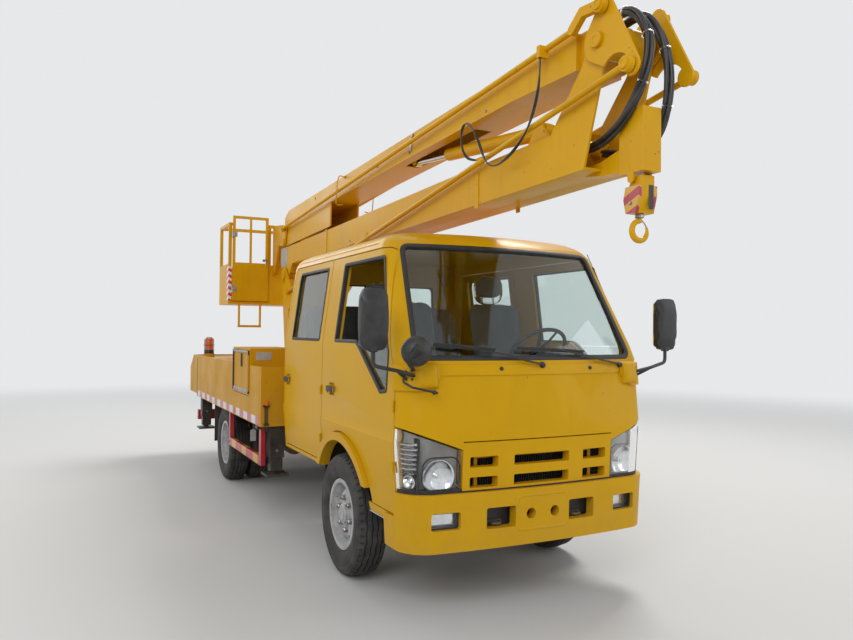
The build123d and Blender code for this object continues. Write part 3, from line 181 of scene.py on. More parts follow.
# a path through corners, each corner replaced by the arc of a circle that touches both runs
def bend(corners, radius, steps=6, closed=False):
    corners = [np.array(c, float) for c in corners]
    out = []
    n = len(corners)
    for k, here in enumerate(corners):
        if not closed and k in (0, n - 1):
            out.append(here)
            continue
        a = corners[k - 1] - here
        b = corners[(k + 1) % n] - here
        la, lb = np.linalg.norm(a), np.linalg.norm(b)
        a, b = a / la, b / lb
        half = math.acos(max(-1, min(1, float(np.dot(a, b))))) / 2
        if half > math.pi / 2 - 0.01:
            out.append(here)
            continue
        back = min(radius / math.tan(half), 0.48 * la, 0.48 * lb)
        r = back * math.tan(half)
        centre = here + (a + b) / np.linalg.norm(a + b) * (r / math.sin(half))
        p, q = here + a * back - centre, here + b * back - centre
        whole = math.acos(max(-1, min(1, float(np.dot(p, q)) / (r * r))))
        t = np.linspace(0, 1, steps + 1)[:, None]
        out += list(centre + (np.sin((1 - t) * whole) * p + np.sin(t * whole) * q) / math.sin(whole))
    return np.array(out)


# a block with chamfered edges: three grown boxes' corners, 24 points joined by 26 faces
def block(low, high, edge=0.003):
    low, high = np.array(low, float), np.array(high, float)
    e = min(edge, 0.45 * float(min(high - low)))
    signs = np.array([(x, y, z) for x in (0, 1) for y in (0, 1) for z in (0, 1)])
    verts, index = [], {}
    for s in signs:
        for axis in range(3):
            corner = np.where(s == 1, high - e, low + e)
            corner[axis] = high[axis] if s[axis] else low[axis]
            index[(tuple(s), axis)] = len(verts)
            verts.append(corner)
    faces = []
    for axis in range(3):
        u, v = (axis + 1) % 3, (axis + 2) % 3
        for end in (0, 1):
            loop = []
            for a, b in ((0, 0), (1, 0), (1, 1), (0, 1)):
                s = [0, 0, 0]
                s[axis], s[u], s[v] = end, a, b
                loop.append(index[(tuple(s), axis)])
            faces.append(loop if end else loop[::-1])
        for a in (0, 1):
            for b in (0, 1):
                s0, s1 = [0, 0, 0], [0, 0, 0]
                s0[u] = s1[u] = a
                s0[v] = s1[v] = b
                s1[axis] = 1
                s0, s1 = tuple(s0), tuple(s1)
                loop = [index[(s0, u)], index[(s1, u)], index[(s1, v)], index[(s0, v)]]
                faces.append(loop if a != b else loop[::-1])
    for s in signs:
        s = tuple(s)
        loop = [index[(s, 0)], index[(s, 1)], index[(s, 2)]]
        faces.append(loop if sum(s) % 2 else loop[::-1])
    return np.array(verts), faces


# an outline of points in the other two axes, given thickness along one axis
def plate(outline, axis, low, high):
    outline = np.array(outline, float)
    n = len(outline)
    others = [k for k in range(3) if k != axis]
    verts = np.zeros((2 * n, 3))
    verts[:n, axis], verts[n:, axis] = low, high
    for part in (slice(0, n), slice(n, 2 * n)):
        verts[part, others[0]] = outline[:, 0]
        verts[part, others[1]] = outline[:, 1]
    x, y = outline[:, 0], outline[:, 1]
    around = float(np.sum(x * np.roll(y, -1) - y * np.roll(x, -1)))
    faces = [list(range(n))[::-1], [n + k for k in range(n)]]
    faces += [[k, (k + 1) % n, n + (k + 1) % n, n + k] for k in range(n)]
    if (around < 0) != (axis == 1):
        faces = [face[::-1] for face in faces]
    return verts, faces


# parts in one list, each one's faces counted on from the points before it
def join(*parts):
    verts, faces, count = [], [], 0
    for points, loops in parts:
        verts.append(points)
        faces += [[count + k for k in loop] for loop in loops]
        count += len(points)
    return np.concatenate(verts), faces


# the same part on the truck's other side, with its faces turned back outwards
def mirror(part):
    points, faces = part
    return points * (-1, 1, 1), [face[::-1] for face in faces]


# the parts and their mirror image
def both(*parts):
    one = join(*parts)
    return join(one, mirror(one))


# a hexagon head with a chamfered top on a washer
def bolt(place, axis, size=0.012, height=0.008):
    washer = revolve([(size * 1.25, 0), (size * 1.25, height * 0.25), (0, height * 0.25)], place, axis, 16)
    top = np.array(place, float) + np.array(axis, float) / np.linalg.norm(axis) * height * 0.25
    head = revolve([(size, 0), (size, height * 0.85), (size * 0.82, height), (0, height)], top, axis, 6)
    return join(washer, head)


# one object from (points, faces), moved to the frame, with its finish and replaced nodes
def newPiece(name, part, material, replaces=(), smooth=35):
    points, faces = part
    mesh = bpy.data.meshes.new(name)
    mesh.from_pydata((points + (0, axleY, 0)).tolist(), [], faces)
    mesh.validate()
    mesh.shade_smooth()
    mesh.set_sharp_from_angle(angle=math.radians(smooth))
    piece = bpy.data.objects.new(name, mesh)
    scene.collection.objects.link(piece)
    mesh.materials.append(palette[material])
    if replaces:
        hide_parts(*replaces)
    return piece


# a new piece that rides on one body
def addPiece(name, part, body, material, **more):
    piece = newPiece(name, part, material, **more)
    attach(piece, body)
    return piece


bothSides = ((1, "left"), (-1, "right"))


# hoses and the side cable: the CAD route's own corners are the control points of one smooth line
hoses = {
    "near_hose": (
        (-0.040, -1.600, 3.082), (-0.040, -1.690, 3.110), (-0.040, -1.788, 3.088), (-0.042, -1.862, 3.018),
        (-0.046, -1.905, 2.925), (-0.054, -1.918, 2.822), (-0.068, -1.900, 2.720), (-0.084, -1.850, 2.628),
        (-0.090, -1.774, 2.556), (-0.082, -1.680, 2.508), (-0.066, -1.576, 2.488), (-0.052, -1.470, 2.485)),
    "far_hose": (
        (0.045, -1.600, 3.082), (0.046, -1.688, 3.108), (0.052, -1.780, 3.082), (0.062, -1.846, 3.008),
        (0.074, -1.880, 2.912), (0.084, -1.896, 2.806), (0.090, -1.896, 2.698), (0.093, -1.878, 2.592),
        (0.092, -1.826, 2.502), (0.088, -1.740, 2.448), (0.078, -1.640, 2.440), (0.060, -1.550, 2.468),
        (0.052, -1.470, 2.485)),
    "side_cable": (
        (-0.226, -1.299, 3.006), (-0.226, -1.300, 2.916), (-0.226, -1.286, 2.826), (-0.226, -1.252, 2.738),
        (-0.226, -1.202, 2.658), (-0.226, -1.130, 2.596), (-0.226, -1.044, 2.550), (-0.226, -0.950, 2.520),
        (-0.226, -0.856, 2.508), (-0.226, -0.772, 2.538), (-0.226, -0.718, 2.608), (-0.226, -0.676, 2.688),
        (-0.226, -0.620, 2.758), (-0.222, -0.562, 2.816), (-0.214, -0.500, 2.852), (-0.204, -0.436, 2.846),
        (-0.196, -0.398, 2.796), (-0.188, -0.392, 2.732), (-0.178, -0.414, 2.672), (-0.164, -0.460, 2.632),
        (-0.146, -0.520, 2.622))}
strandSides = 12


# the points of a NURBS spline through the route, as Blender reads them from the curve itself
def smoothLine(name, route):
    curve = bpy.data.curves.new(name, "CURVE")
    curve.dimensions = "3D"
    curve.resolution_u = 10
    spline = curve.splines.new("NURBS")
    spline.points.add(len(route) - 1)
    for point, place in zip(spline.points, route):
        point.co = (*place, 1)
    spline.order_u = 3
    spline.use_endpoint_u = True
    holder = bpy.data.objects.new(name, curve)
    scene.collection.objects.link(holder)
    mesh = bpy.data.meshes.new_from_object(holder)
    line = np.zeros(len(mesh.vertices) * 3)
    mesh.vertices.foreach_get("co", line)
    bpy.data.objects.remove(holder)
    bpy.data.curves.remove(curve)
    bpy.data.meshes.remove(mesh)
    return line.reshape(-1, 3)


# the sum of the steps from point to point
def lengthOf(line):
    return float(np.sum(np.linalg.norm(np.diff(line, axis=0), axis=1)))


# round strands laid about a line: strand = line + lay * (side cos + up sin) of an angle that grows along it
def strands(line, count, radius, lay, turns):
    path, _, side, up = framesAlong(line)
    share = np.linspace(0, 1, len(path))
    parts = []
    for k in range(count):
        angle = 2 * math.pi * (k / count + turns * share)
        close = np.minimum(1, np.minimum(share, 1 - share) * 12 + 0.55)
        offset = lay * close
        strand = path + (offset * np.cos(angle))[:, None] * side + (offset * np.sin(angle))[:, None] * up
        parts.append(tube(strand, radius, strandSides))
    return join(*parts)


hoseLines = {name: smoothLine(name, route) for name, route in hoses.items()}


# shader nodes: each entry of sockets is a number, a colour or another node's output
def addNode(tree, kind, sockets=(), **settings):
    node = tree.nodes.new("ShaderNode" + kind)
    for key, value in settings.items():
        setattr(node, key, value)
    for key, value in dict(sockets).items():
        if isinstance(value, bpy.types.NodeSocket):
            tree.links.new(value, node.inputs[key])
        elif isinstance(value, tuple) and len(value) == 3 and node.inputs[key].type == "RGBA":
            node.inputs[key].default_value = (*value, 1)
        else:
            node.inputs[key].default_value = value
    return node


# one Math node: operation of a and b
def mathNode(tree, operation, a, b=0.0):
    return addNode(tree, "Math", {0: a, 1: b}, operation=operation).outputs[0]


# floor, sky and lamps: one strength for the sky, watts for each lamp
light = {"sky": 0.45, "skyColour": (0.95, 0.97, 1.0), "pale": (0.80, 0.81, 0.82), "floor": (0.62, 0.62, 0.61),
         "near": 7.0, "far": 17.0, "reach": 90.0,
         # name, place, size, watts, colour
         "lamps": (("keyLamp", (5.5, 2.5, 11.0), 4.0, 860, (1.0, 0.98, 0.95)),
                   ("frontLamp", (-6.5, -9.0, 6.5), 6.0, 430, (0.97, 0.98, 1.0)),
                   ("fillLamp", (8.0, -8.0, 5.0), 7.0, 200, (0.94, 0.97, 1.0)),
                   ("sideLamp", (-10.0, 4.0, 5.5), 6.0, 190, (1.0, 1.0, 1.0)),
                   ("backLamp", (-2.0, 11.0, 7.0), 6.0, 260, (1.0, 1.0, 1.0)))}


# 1 for rays of the camera, of a reflection or through glass, which see the pale studio
def seenRay(tree):
    seen = addNode(tree, "LightPath").outputs
    straight = mathNode(tree, "MAXIMUM", seen["Is Camera Ray"], seen["Is Glossy Ray"])
    return mathNode(tree, "MAXIMUM", straight, seen["Is Transmission Ray"])


# world and floor lit softly, but pale where the camera or a reflection sees them, and the lamps
def makeStage(s):
    scene.world = bpy.data.worlds.new("studio")
    scene.world.use_nodes = True
    tree = scene.world.node_tree
    tree.nodes.clear()
    soft = addNode(tree, "Background", {"Color": s["skyColour"], "Strength": s["sky"]})
    pale = addNode(tree, "Background", {"Color": s["pale"], "Strength": 1})
    mix = addNode(tree, "MixShader", {0: seenRay(tree), 1: soft.outputs[0], 2: pale.outputs[0]})
    addNode(tree, "OutputWorld", {"Surface": mix.outputs[0]})
    for name, place, size, power, colour in s["lamps"]:
        data = bpy.data.lights.new(name, "AREA")
        data.energy = power
        data.size = size
        data.color = colour
        lamp = bpy.data.objects.new(name, data)
        lamp.location = place
        lamp.rotation_euler = (Vector((0, 0, 1.2)) - Vector(place)).to_track_quat("-Z", "Y").to_euler()
        scene.collection.objects.link(lamp)
    along = np.linspace(-1, 1, 3) * s["reach"]
    x, y = np.meshgrid(along, along, indexing="ij")
    points, faces = surface(np.stack([x, y, 0 * x], axis=2))
    mesh = bpy.data.meshes.new("floor")
    mesh.from_pydata(points.tolist(), [], faces)
    mesh.shade_smooth()
    floor = bpy.data.objects.new("floor", mesh)
    scene.collection.objects.link(floor)
    mat = bpy.data.materials.new("floorPale")
    mat.use_nodes = True
    tree = mat.node_tree
    shader = tree.nodes["Principled BSDF"]
    shader.inputs["Base Color"].default_value = (*s["floor"], 1)
    shader.inputs["Roughness"].default_value = 0.9
    # far from the truck the floor turns into the pale of the world, so no line crosses behind it
    where = addNode(tree, "TexCoord").outputs["Object"]
    away = addNode(tree, "VectorMath", {0: where}, operation="LENGTH").outputs["Value"]
    far = addNode(tree, "MapRange", {"From Min": s["near"], "From Max": s["far"], "Value": away},
                  interpolation_type="SMOOTHSTEP").outputs["Result"]
    share = mathNode(tree, "MULTIPLY", far, seenRay(tree))
    glow = addNode(tree, "Emission", {"Color": s["pale"]})
    mix = addNode(tree, "MixShader", {0: share, 1: shader.outputs[0], 2: glow.outputs[0]})
    tree.links.new(mix.outputs[0], tree.nodes["Material Output"].inputs["Surface"])
    mesh.materials.append(mat)


makeStage(light)
scene.view_settings.view_transform = "Standard"
print("stage ready")


# a material whose Principled shader has these even values
def newFinish(name, colour, rough, metal=0.0, coat=0.0, gloss=0.5):
    mat = bpy.data.materials.new(name)
    mat.use_nodes = True
    shader = mat.node_tree.nodes["Principled BSDF"]
    for key, value in (("Base Color", (*colour, 1)), ("Roughness", rough), ("Metallic", metal),
                       ("Coat Weight", coat), ("Coat Roughness", 0.06), ("Specular IOR Level", gloss)):
        shader.inputs[key].default_value = value
    palette[name] = mat
    return mat.node_tree, shader


# the place on the object, stretched along its axes
def objectPoint(tree, stretch=None):
    where = addNode(tree, "TexCoord").outputs["Object"]
    if stretch is None:
        return where
    return addNode(tree, "Mapping", {"Scale": stretch, "Vector": where}).outputs["Vector"]


# noise between low and high, stretched to run from 0 to 1
def noiseMask(tree, where, scale, low, high, detail=4.0):
    noise = addNode(tree, "TexNoise", {"Scale": scale, "Detail": detail, "Roughness": 0.62, "Vector": where})
    return addNode(tree, "MapRange",
                   {"From Min": low, "From Max": high, "Value": noise.outputs["Fac"]}).outputs["Result"]


# a where the mask is 0, b where it is 1; each is a colour or an output
def mixColour(tree, mask, a, b):
    return addNode(tree, "Mix", {"Factor": mask, "A": a, "B": b}, data_type="RGBA").outputs["Result"]


# a fine noise as height for the shader's normal
def addBump(tree, shader, where, scale, strength, distance=0.001, detail=2.0):
    noise = addNode(tree, "TexNoise", {"Scale": scale, "Detail": detail, "Vector": where})
    bump = addNode(tree, "Bump", {"Strength": strength, "Distance": distance, "Height": noise.outputs["Fac"]})
    tree.links.new(bump.outputs["Normal"], shader.inputs["Normal"])


# roughness low where the mask is 0, high where it is 1
def addRoughness(tree, shader, mask, low, high):
    span = addNode(tree, "MapRange", {"To Min": low, "To Max": high, "Value": mask})
    tree.links.new(span.outputs["Result"], shader.inputs["Roughness"])


# gloss paint: slow fading in its colour, streaks, road dust that grows downwards, fine chips, orange peel
def paintFinish(name, s):
    tree, shader = newFinish(name, s["colour"], s["rough"], 0, s["coat"], 0.10)
    where = objectPoint(tree)
    fade = noiseMask(tree, where, s.get("fadeScale", 2.2), 0.38, 0.68)
    tone = mixColour(tree, fade, s["colour"], s["faded"])
    streak = noiseMask(tree, objectPoint(tree, (9, 9, 0.9)), 2.0, 0.55, 0.8)
    tone = mixColour(tree, mathNode(tree, "MULTIPLY", streak, s["streak"]), tone, s["grime"])
    if "dustTop" in s:
        height = addNode(tree, "SeparateXYZ", {"Vector": where}).outputs["Z"]
        foot = addNode(tree, "MapRange",
                       {"From Min": s["dustTop"], "From Max": s["dustFoot"], "Value": height})
        cloud = mathNode(tree, "MULTIPLY", foot.outputs["Result"], noiseMask(tree, where, 7.0, 0.3, 0.75))
        tone = mixColour(tree, mathNode(tree, "MULTIPLY", cloud, s["dust"]), tone, s["dustColour"])
    chip = noiseMask(tree, where, 55, s["chip"], s["chip"] + 0.02, 1.0)
    tone = mixColour(tree, chip, tone, s["under"])
    tree.links.new(tone, shader.inputs["Base Color"])
    addRoughness(tree, shader, fade, s["rough"], s["rough"] + 0.14)
    addBump(tree, shader, where, 260, 0.05, 0.0004)


# any other finish: two tones in clouds, a roughness that follows them, and a grain
def plainFinish(name, slot, colour, second, rough, scale, grain, bump, s=()):
    s = {"metal": 0, "coat": 0, "low": 0.35, "high": 0.7, "dulling": 0.15, "depth": 0.001, **dict(s)}
    tree, shader = newFinish(name, colour, rough, s["metal"], s["coat"])
    where = objectPoint(tree)
    cloud = noiseMask(tree, where, scale, s["low"], s["high"])
    tree.links.new(mixColour(tree, cloud, colour, second), shader.inputs["Base Color"])
    addRoughness(tree, shader, cloud, rough, rough + s["dulling"])
    addBump(tree, shader, where, grain, bump, s["depth"])
    return tree, shader


# bands of two colours: the place along a direction, times bands per metre, is cut into whole and broken part
def stripeFinish(name, s):
    tree, shader = newFinish(name, s["colour"], s["rough"], 0, 0.3)
    where = objectPoint(tree)
    along = addNode(tree, "VectorMath", {0: where, 1: s["way"]}, operation="DOT_PRODUCT").outputs["Value"]
    part = mathNode(tree, "FRACT", mathNode(tree, "ADD", along, s["shift"]))
    tone = mixColour(tree, mathNode(tree, "GREATER_THAN", part, s["share"]), s["colour"], s["second"])
    dirt = mathNode(tree, "MULTIPLY", noiseMask(tree, where, 9.0, 0.45, 0.8), s["dirt"])
    tree.links.new(mixColour(tree, dirt, tone, (0.16, 0.13, 0.10)), shader.inputs["Base Color"])
    addBump(tree, shader, where, s.get("grain", 240), s.get("bump", 0.05), 0.0005)


# clear glass whose roughness grows by the dirt in clouds
def glassFinish(name, colour, rough, ior, dirt):
    tree, shader = newFinish(name, colour, rough)
    shader.inputs["Transmission Weight"].default_value = 1
    shader.inputs["IOR"].default_value = ior
    addRoughness(tree, shader, noiseMask(tree, objectPoint(tree), 6.0, 0.4, 0.8), rough, rough + dirt)


paintFinish("cabYellow", {
    "colour": (0.62, 0.335, 0.003), "faded": (0.65, 0.36, 0.006), "rough": 0.28, "coat": 0.06, "streak": 0.10,
    "grime": (0.36, 0.18, 0.015), "dustTop": 0.85, "dustFoot": 0.3, "dust": 0.28,
    "dustColour": (0.30, 0.20, 0.09), "chip": 0.79, "under": (0.22, 0.14, 0.08)})
paintFinish("boomYellow", {
    "colour": (0.66, 0.34, 0.003), "faded": (0.70, 0.375, 0.006), "rough": 0.30, "coat": 0.05, "streak": 0.20,
    "grime": (0.30, 0.13, 0.02), "chip": 0.76, "under": (0.10, 0.07, 0.05)})
paintFinish("deckYellow", {
    "colour": (0.60, 0.30, 0.004), "faded": (0.54, 0.27, 0.012), "rough": 0.38, "coat": 0.03, "streak": 0.15,
    "grime": (0.24, 0.13, 0.02), "dustTop": 1.1, "dustFoot": 0.6, "dust": 0.35,
    "dustColour": (0.30, 0.20, 0.09), "chip": 0.74, "under": (0.16, 0.10, 0.06)})
paintFinish("chassisPaint", {
    "colour": (0.018, 0.018, 0.019), "faded": (0.045, 0.042, 0.038), "rough": 0.42, "coat": 0.15,
    "streak": 0.3, "grime": (0.10, 0.075, 0.05), "dustTop": 1.1, "dustFoot": 0.3, "dust": 0.55,
    "dustColour": (0.17, 0.14, 0.10), "chip": 0.72, "under": (0.13, 0.06, 0.03)})
paintFinish("wheelPaint", {
    "colour": (0.50, 0.51, 0.52), "faded": (0.36, 0.36, 0.36), "rough": 0.34, "coat": 0.2, "streak": 0.3,
    "grime": (0.14, 0.11, 0.08), "dustTop": 0.7, "dustFoot": 0.0, "dust": 0.45,
    "dustColour": (0.25, 0.20, 0.15), "chip": 0.73, "under": (0.17, 0.09, 0.05), "fadeScale": 14})
stripeFinish("guardBands", {
    "colour": (0.46, 0.012, 0.022), "second": (0.62, 0.32, 0.01), "rough": 0.35, "way": (0, 2.3, 0),
    "shift": 0.26, "share": 0.62, "dirt": 0.35})
stripeFinish("hookBands", {
    "colour": (0.40, 0.010, 0.020), "second": (0.62, 0.32, 0.01), "rough": 0.35, "way": (5, 5, 12),
    "shift": 0.1, "share": 0.5, "dirt": 0.3})
stripeFinish("tapeBands", {
    "colour": (0.55, 0.03, 0.035), "second": (0.62, 0.62, 0.63), "rough": 0.3, "way": (0, 3.3, 0),
    "shift": 0.2, "share": 0.5, "dirt": 0.2, "grain": 900, "bump": 0.15})
stripeFinish("warningBands", {
    "colour": (0.66, 0.03, 0.035), "second": (0.82, 0.82, 0.80), "rough": 0.35, "way": (6, 6, 14),
    "shift": 0.3, "share": 0.5, "dirt": 0.2})
plainFinishes = (
    # name, slot, colour, second colour, roughness, cloud scale, grain scale, grain strength, the rest
    ("castIron", "cast_grey", (0.09, 0.085, 0.08), (0.16, 0.11, 0.07), 0.55, 9, 180, 0.5, {"metal": 0.4}),
    ("boltSteel", "cast_grey", (0.42, 0.42, 0.43), (0.22, 0.17, 0.12), 0.32, 40, 300, 0.2, {"metal": 0.9}),
    ("hotSteel", "exhaust_steel", (0.20, 0.17, 0.15), (0.19, 0.085, 0.04), 0.5, 8, 220, 0.5, {"metal": 0.7}),
    ("tyreRubber", "tyre_rubber", (0.020, 0.020, 0.021), (0.085, 0.074, 0.060), 0.72, 11, 420, 0.25,
     {"low": 0.42, "high": 0.78}),
    ("flapRubber", "flap_rubber", (0.018, 0.018, 0.018), (0.075, 0.065, 0.052), 0.75, 6, 350, 0.3, {}),
    ("sealRubber", "flap_rubber", (0.010, 0.010, 0.011), (0.028, 0.026, 0.024), 0.5, 12, 500, 0.12, {}),
    ("hoseRubber", "hose_rubber", (0.012, 0.012, 0.013), (0.05, 0.045, 0.04), 0.38, 15, 600, 0.15, {}),
    ("trimPlastic", "black_plastic", (0.014, 0.014, 0.015), (0.035, 0.034, 0.033), 0.42, 14, 900, 0.3,
     {"depth": 0.0005}),
    ("dashPlastic", "dash_plastic", (0.115, 0.118, 0.125), (0.16, 0.16, 0.165), 0.6, 8, 1100, 0.4,
     {"depth": 0.0005}),
    ("palePlastic", "dash_plastic", (0.42, 0.42, 0.41), (0.33, 0.32, 0.30), 0.55, 10, 900, 0.3,
     {"depth": 0.0005}),
    ("plateSilver", "wheel_silver", (0.50, 0.52, 0.54), (0.38, 0.38, 0.38), 0.35, 12, 300, 0.1,
     {"metal": 0.5}),
    ("chromeRod", "chrome_rod", (0.72, 0.73, 0.75), (0.62, 0.62, 0.63), 0.08, 20, 800, 0.03,
     {"metal": 1, "dulling": 0.1}),
    ("mirrorSilver", "chrome_rod", (0.80, 0.82, 0.84), (0.74, 0.76, 0.78), 0.03, 8, 20, 0.01,
     {"metal": 1, "dulling": 0.04}),
    ("reflector", "chrome_rod", (0.85, 0.86, 0.87), (0.70, 0.71, 0.73), 0.10, 30, 30, 0.05,
     {"metal": 1, "dulling": 0.1}),
    ("orangePlastic", "lamp_lens", (0.72, 0.13, 0.008), (0.62, 0.10, 0.006), 0.18, 30, 120, 0.1,
     {"coat": 0.8}),
    ("redPlastic", "lamp_lens", (0.42, 0.008, 0.008), (0.34, 0.006, 0.006), 0.18, 30, 120, 0.1,
     {"coat": 0.8}))
for row in plainFinishes:
    plainFinish(*row)
glassFinish("cabGlass", (0.78, 0.86, 0.84), 0.0, 1.45, 0.03)
glassFinish("lampGlass", (0.97, 0.98, 0.98), 0.02, 1.3, 0.05)
print("finishes ready")


# CAD pieces whose shape is right, redrawn with softened edges: finish, edge width, nodes
polished = (
    ("cabYellow", 0.004, "cab_body cab_roof front_panel"),
    ("cabYellow", 0.003, "front_door_left front_door_right rear_door_left rear_door_right"),
    ("cabYellow", 0.012, "bumper"), ("cabYellow", 0.004, "grille"), ("deckYellow", 0.010, "deck"),
    ("deckYellow", 0.003, "control_cabinet cabinet_door"), ("chassisPaint", 0.003, "chassis_frame"),
    ("chassisPaint", 0.004, "front_axle rear_axle"), ("castIron", 0.008, "engine"),
    ("hotSteel", 0.002, "exhaust"), ("chassisPaint", 0.012, "fuel_tank"),
    ("castIron", 0.003, "steering_knuckle_left steering_knuckle_right"),
    ("chassisPaint", 0.004, "outrigger_frame"),
    ("chassisPaint", 0.003, "outrigger_leg_front_left outrigger_leg_front_right "
                            "outrigger_leg_rear_left outrigger_leg_rear_right"),
    ("guardBands", 0.004, "guards"), ("boomYellow", 0.004, "turret"),
    ("boomYellow", 0.003, "lower_boom upper_boom elbow_links"),
    ("boomYellow", 0.002, "lower_tie_rods upper_tie_rods"), ("boomYellow", 0.003, "luff_barrel fold_barrel"),
    ("chromeRod", 0.002, "luff_rod fold_rod"), ("boomYellow", 0.003, "basket basket_gate"),
    ("flapRubber", 0.002, "mud_flaps"))
sharpAngle = math.radians(32)
bodyOf = {node: body for body, nodes in frame["record"]["behaviour"]["bodies"].items() for node in nodes}


# edges sharper than the angle get a two-step bevel
def softenEdges(piece, width):
    edge = piece.modifiers.new("edge", "BEVEL")
    edge.width = width
    edge.segments = 2
    edge.limit_method = "ANGLE"
    edge.angle_limit = sharpAngle
    edge.use_clamp_overlap = True
    edge.harden_normals = True


# a copy of the node's own mesh: its doubles merged, its flat faces made whole, its edges rounded
def polish(node, finish, width):
    mesh = frame["nodes"][node].data.copy()
    form = bmesh.new()
    form.from_mesh(mesh)
    bmesh.ops.remove_doubles(form, verts=form.verts, dist=0.00002)
    bmesh.ops.dissolve_limit(form, angle_limit=math.radians(0.8), verts=form.verts, edges=form.edges,
                             use_dissolve_boundaries=False)
    form.to_mesh(mesh)
    form.free()
    mesh.materials.clear()
    mesh.materials.append(palette[finish])
    mesh.shade_smooth()
    mesh.set_sharp_from_angle(angle=sharpAngle)
    piece = bpy.data.objects.new(node + "_skin", mesh)
    scene.collection.objects.link(piece)
    softenEdges(piece, width)
    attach(piece, bodyOf[node])
    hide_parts(node)


for finish, width, nodes in polished:
    for node in nodes.split():
        polish(node, finish, width)
for node in ("cab_glass", "front_door_glass_left", "quarter_panel_right", "rear_door_glass_left",
             "rear_door_glass_right"):
    data = frame["nodes"][node].data
    data.materials.clear()
    data.materials.append(palette["cabGlass"])
print("panels and structure ready")


# cab: the surface that its trim lies on, as level rows like the CAD's
cab = {
    # height, half width, nose, corner x, corner y, where the side starts
    "rows": ((0.379, 0.800, -1.018, 0.640, -0.985, -0.830), (0.690, 0.820, -1.024, 0.640, -0.992, -0.835),
             (0.956, 0.841, -1.036, 0.640, -1.006, -0.842), (0.972, 0.835, -1.037, 0.640, -1.007, -0.842),
             (1.400, 0.832, -0.992, 0.745, -0.908, -0.800), (1.478, 0.831, -0.951, 0.739, -0.867, -0.763),
             (2.052, 0.753, -0.639, 0.677, -0.543, -0.435), (2.092, 0.730, -0.594, 0.648, -0.504, -0.404),
             (2.118, 0.702, -0.558, 0.618, -0.474, -0.376)),
    "screen": ((-0.735, 1.412), (0.735, 1.412), (0.664, 2.062), (-0.664, 2.062)), "screenCorner": 0.045,
    "rearScreen": ((-0.520, 1.484), (0.520, 1.484), (0.500, 1.940), (-0.500, 1.940)),
    "frontWindow": ((0.140, 1.490), (0.140, 1.990), (-0.518, 1.990), (-0.750, 1.440), (-0.728, 1.225),
                    (-0.640, 1.213), (-0.290, 1.462), (-0.240, 1.490)),
    "rearWindow": ((0.470, 1.490), (0.470, 1.990), (1.118, 1.990), (1.138, 1.940), (1.138, 1.490)),
    "windowCorner": 0.014, "bulge": 0.38}
cabRows = np.array(cab["rows"])


# half width, nose, corner x, corner y and side start, each interpolated at height z
def cabRow(z):
    return [np.interp(z, cabRows[:, 0], cabRows[:, k]) for k in range(1, 6)]


# centre and radius of the circle through a corner's two ends and a middle point bulged outwards
def cornerArc(half, cx, cy, sy):
    bx = (cx + half) / 2 + cab["bulge"] * (half - cx) / 2
    by = (cy + sy) / 2 - cab["bulge"] * (sy - cy) / 2
    d = 2 * (cx * (by - sy) + bx * (sy - cy) + half * (cy - by))
    q1, q2, q3 = cx ** 2 + cy ** 2, bx ** 2 + by ** 2, half ** 2 + sy ** 2
    ux = (q1 * (by - sy) + q2 * (sy - cy) + q3 * (cy - by)) / d
    uy = (q1 * (half - bx) + q2 * (cx - half) + q3 * (bx - cx)) / d
    return ux, uy, np.hypot(cx - ux, cy - uy)


# Y of the cab's face at x and z: the middle arc through nose and corners, then the corner arc to the side
def cabNose(x, z, out=0.0):
    x, z = np.abs(np.asarray(x, float)), np.asarray(z, float)
    half, nose, cx, cy, sy = cabRow(z)
    rise = np.maximum(cy - nose, 1e-4)
    radius = (cx ** 2 + rise ** 2) / (2 * rise)
    middle = nose + radius - np.sqrt(np.maximum(radius ** 2 - x ** 2, 0))
    ux, uy, r = cornerArc(half, cx, cy, sy)
    corner = uy - np.sqrt(np.maximum(r ** 2 - (x - ux) ** 2, 0))
    return np.where(x < cx, middle, corner) - out


# the cab's half width at height z
def cabSide(z):
    return cabRow(np.asarray(z, float))[0]


# the outward normal of the cab's face: (dY/dx, -1, dY/dz) from central differences, made unit length
def noseNormal(x, z, e=0.002):
    dx = (cabNose(x + e, z) - cabNose(x - e, z)) / (2 * e)
    dz = (cabNose(x, z + e) - cabNose(x, z - e)) / (2 * e)
    n = np.stack([dx, -np.ones_like(dx), dz], axis=-1)
    return n / np.linalg.norm(n, axis=-1)[..., None]


# the cab face's normal at one point
def normalAt(x, z):
    return noseNormal(np.array([x]), np.array([z]))[0]


# a closed outline of two numbers a point, its corners rounded and its runs divided
def roundedLoop(outline, radius, step=0.03):
    path = bend([(a, b, 0) for a, b in outline], radius, 5, closed=True)[:, :2]
    out = []
    for here, there in zip(path, np.roll(path, -1, 0)):
        n = max(1, int(np.linalg.norm(there - here) / step))
        out += [here + (there - here) * k / n for k in range(n)]
    return np.array(out)


# a section of (across, out) carried along a path that lies on a surface with these normals
def ribbon(path, normals, section):
    path, ahead, _, _ = framesAlong(path, True)
    across = np.cross(ahead, normals)
    across /= np.linalg.norm(across, axis=1)[:, None]
    section = np.array(section, float)
    points = (path[:, None, :] + section[:, 0][None, :, None] * across[:, None, :]
              + section[:, 1][None, :, None] * normals[:, None, :])
    return surface(points, closeU=True, closeV=True)


# a loop of (x, z) laid on the cab's face, with its normals
def onNose(loop):
    x, z = loop[:, 0], loop[:, 1]
    return np.stack([x, cabNose(x, z), z], axis=1), noseNormal(x, z)


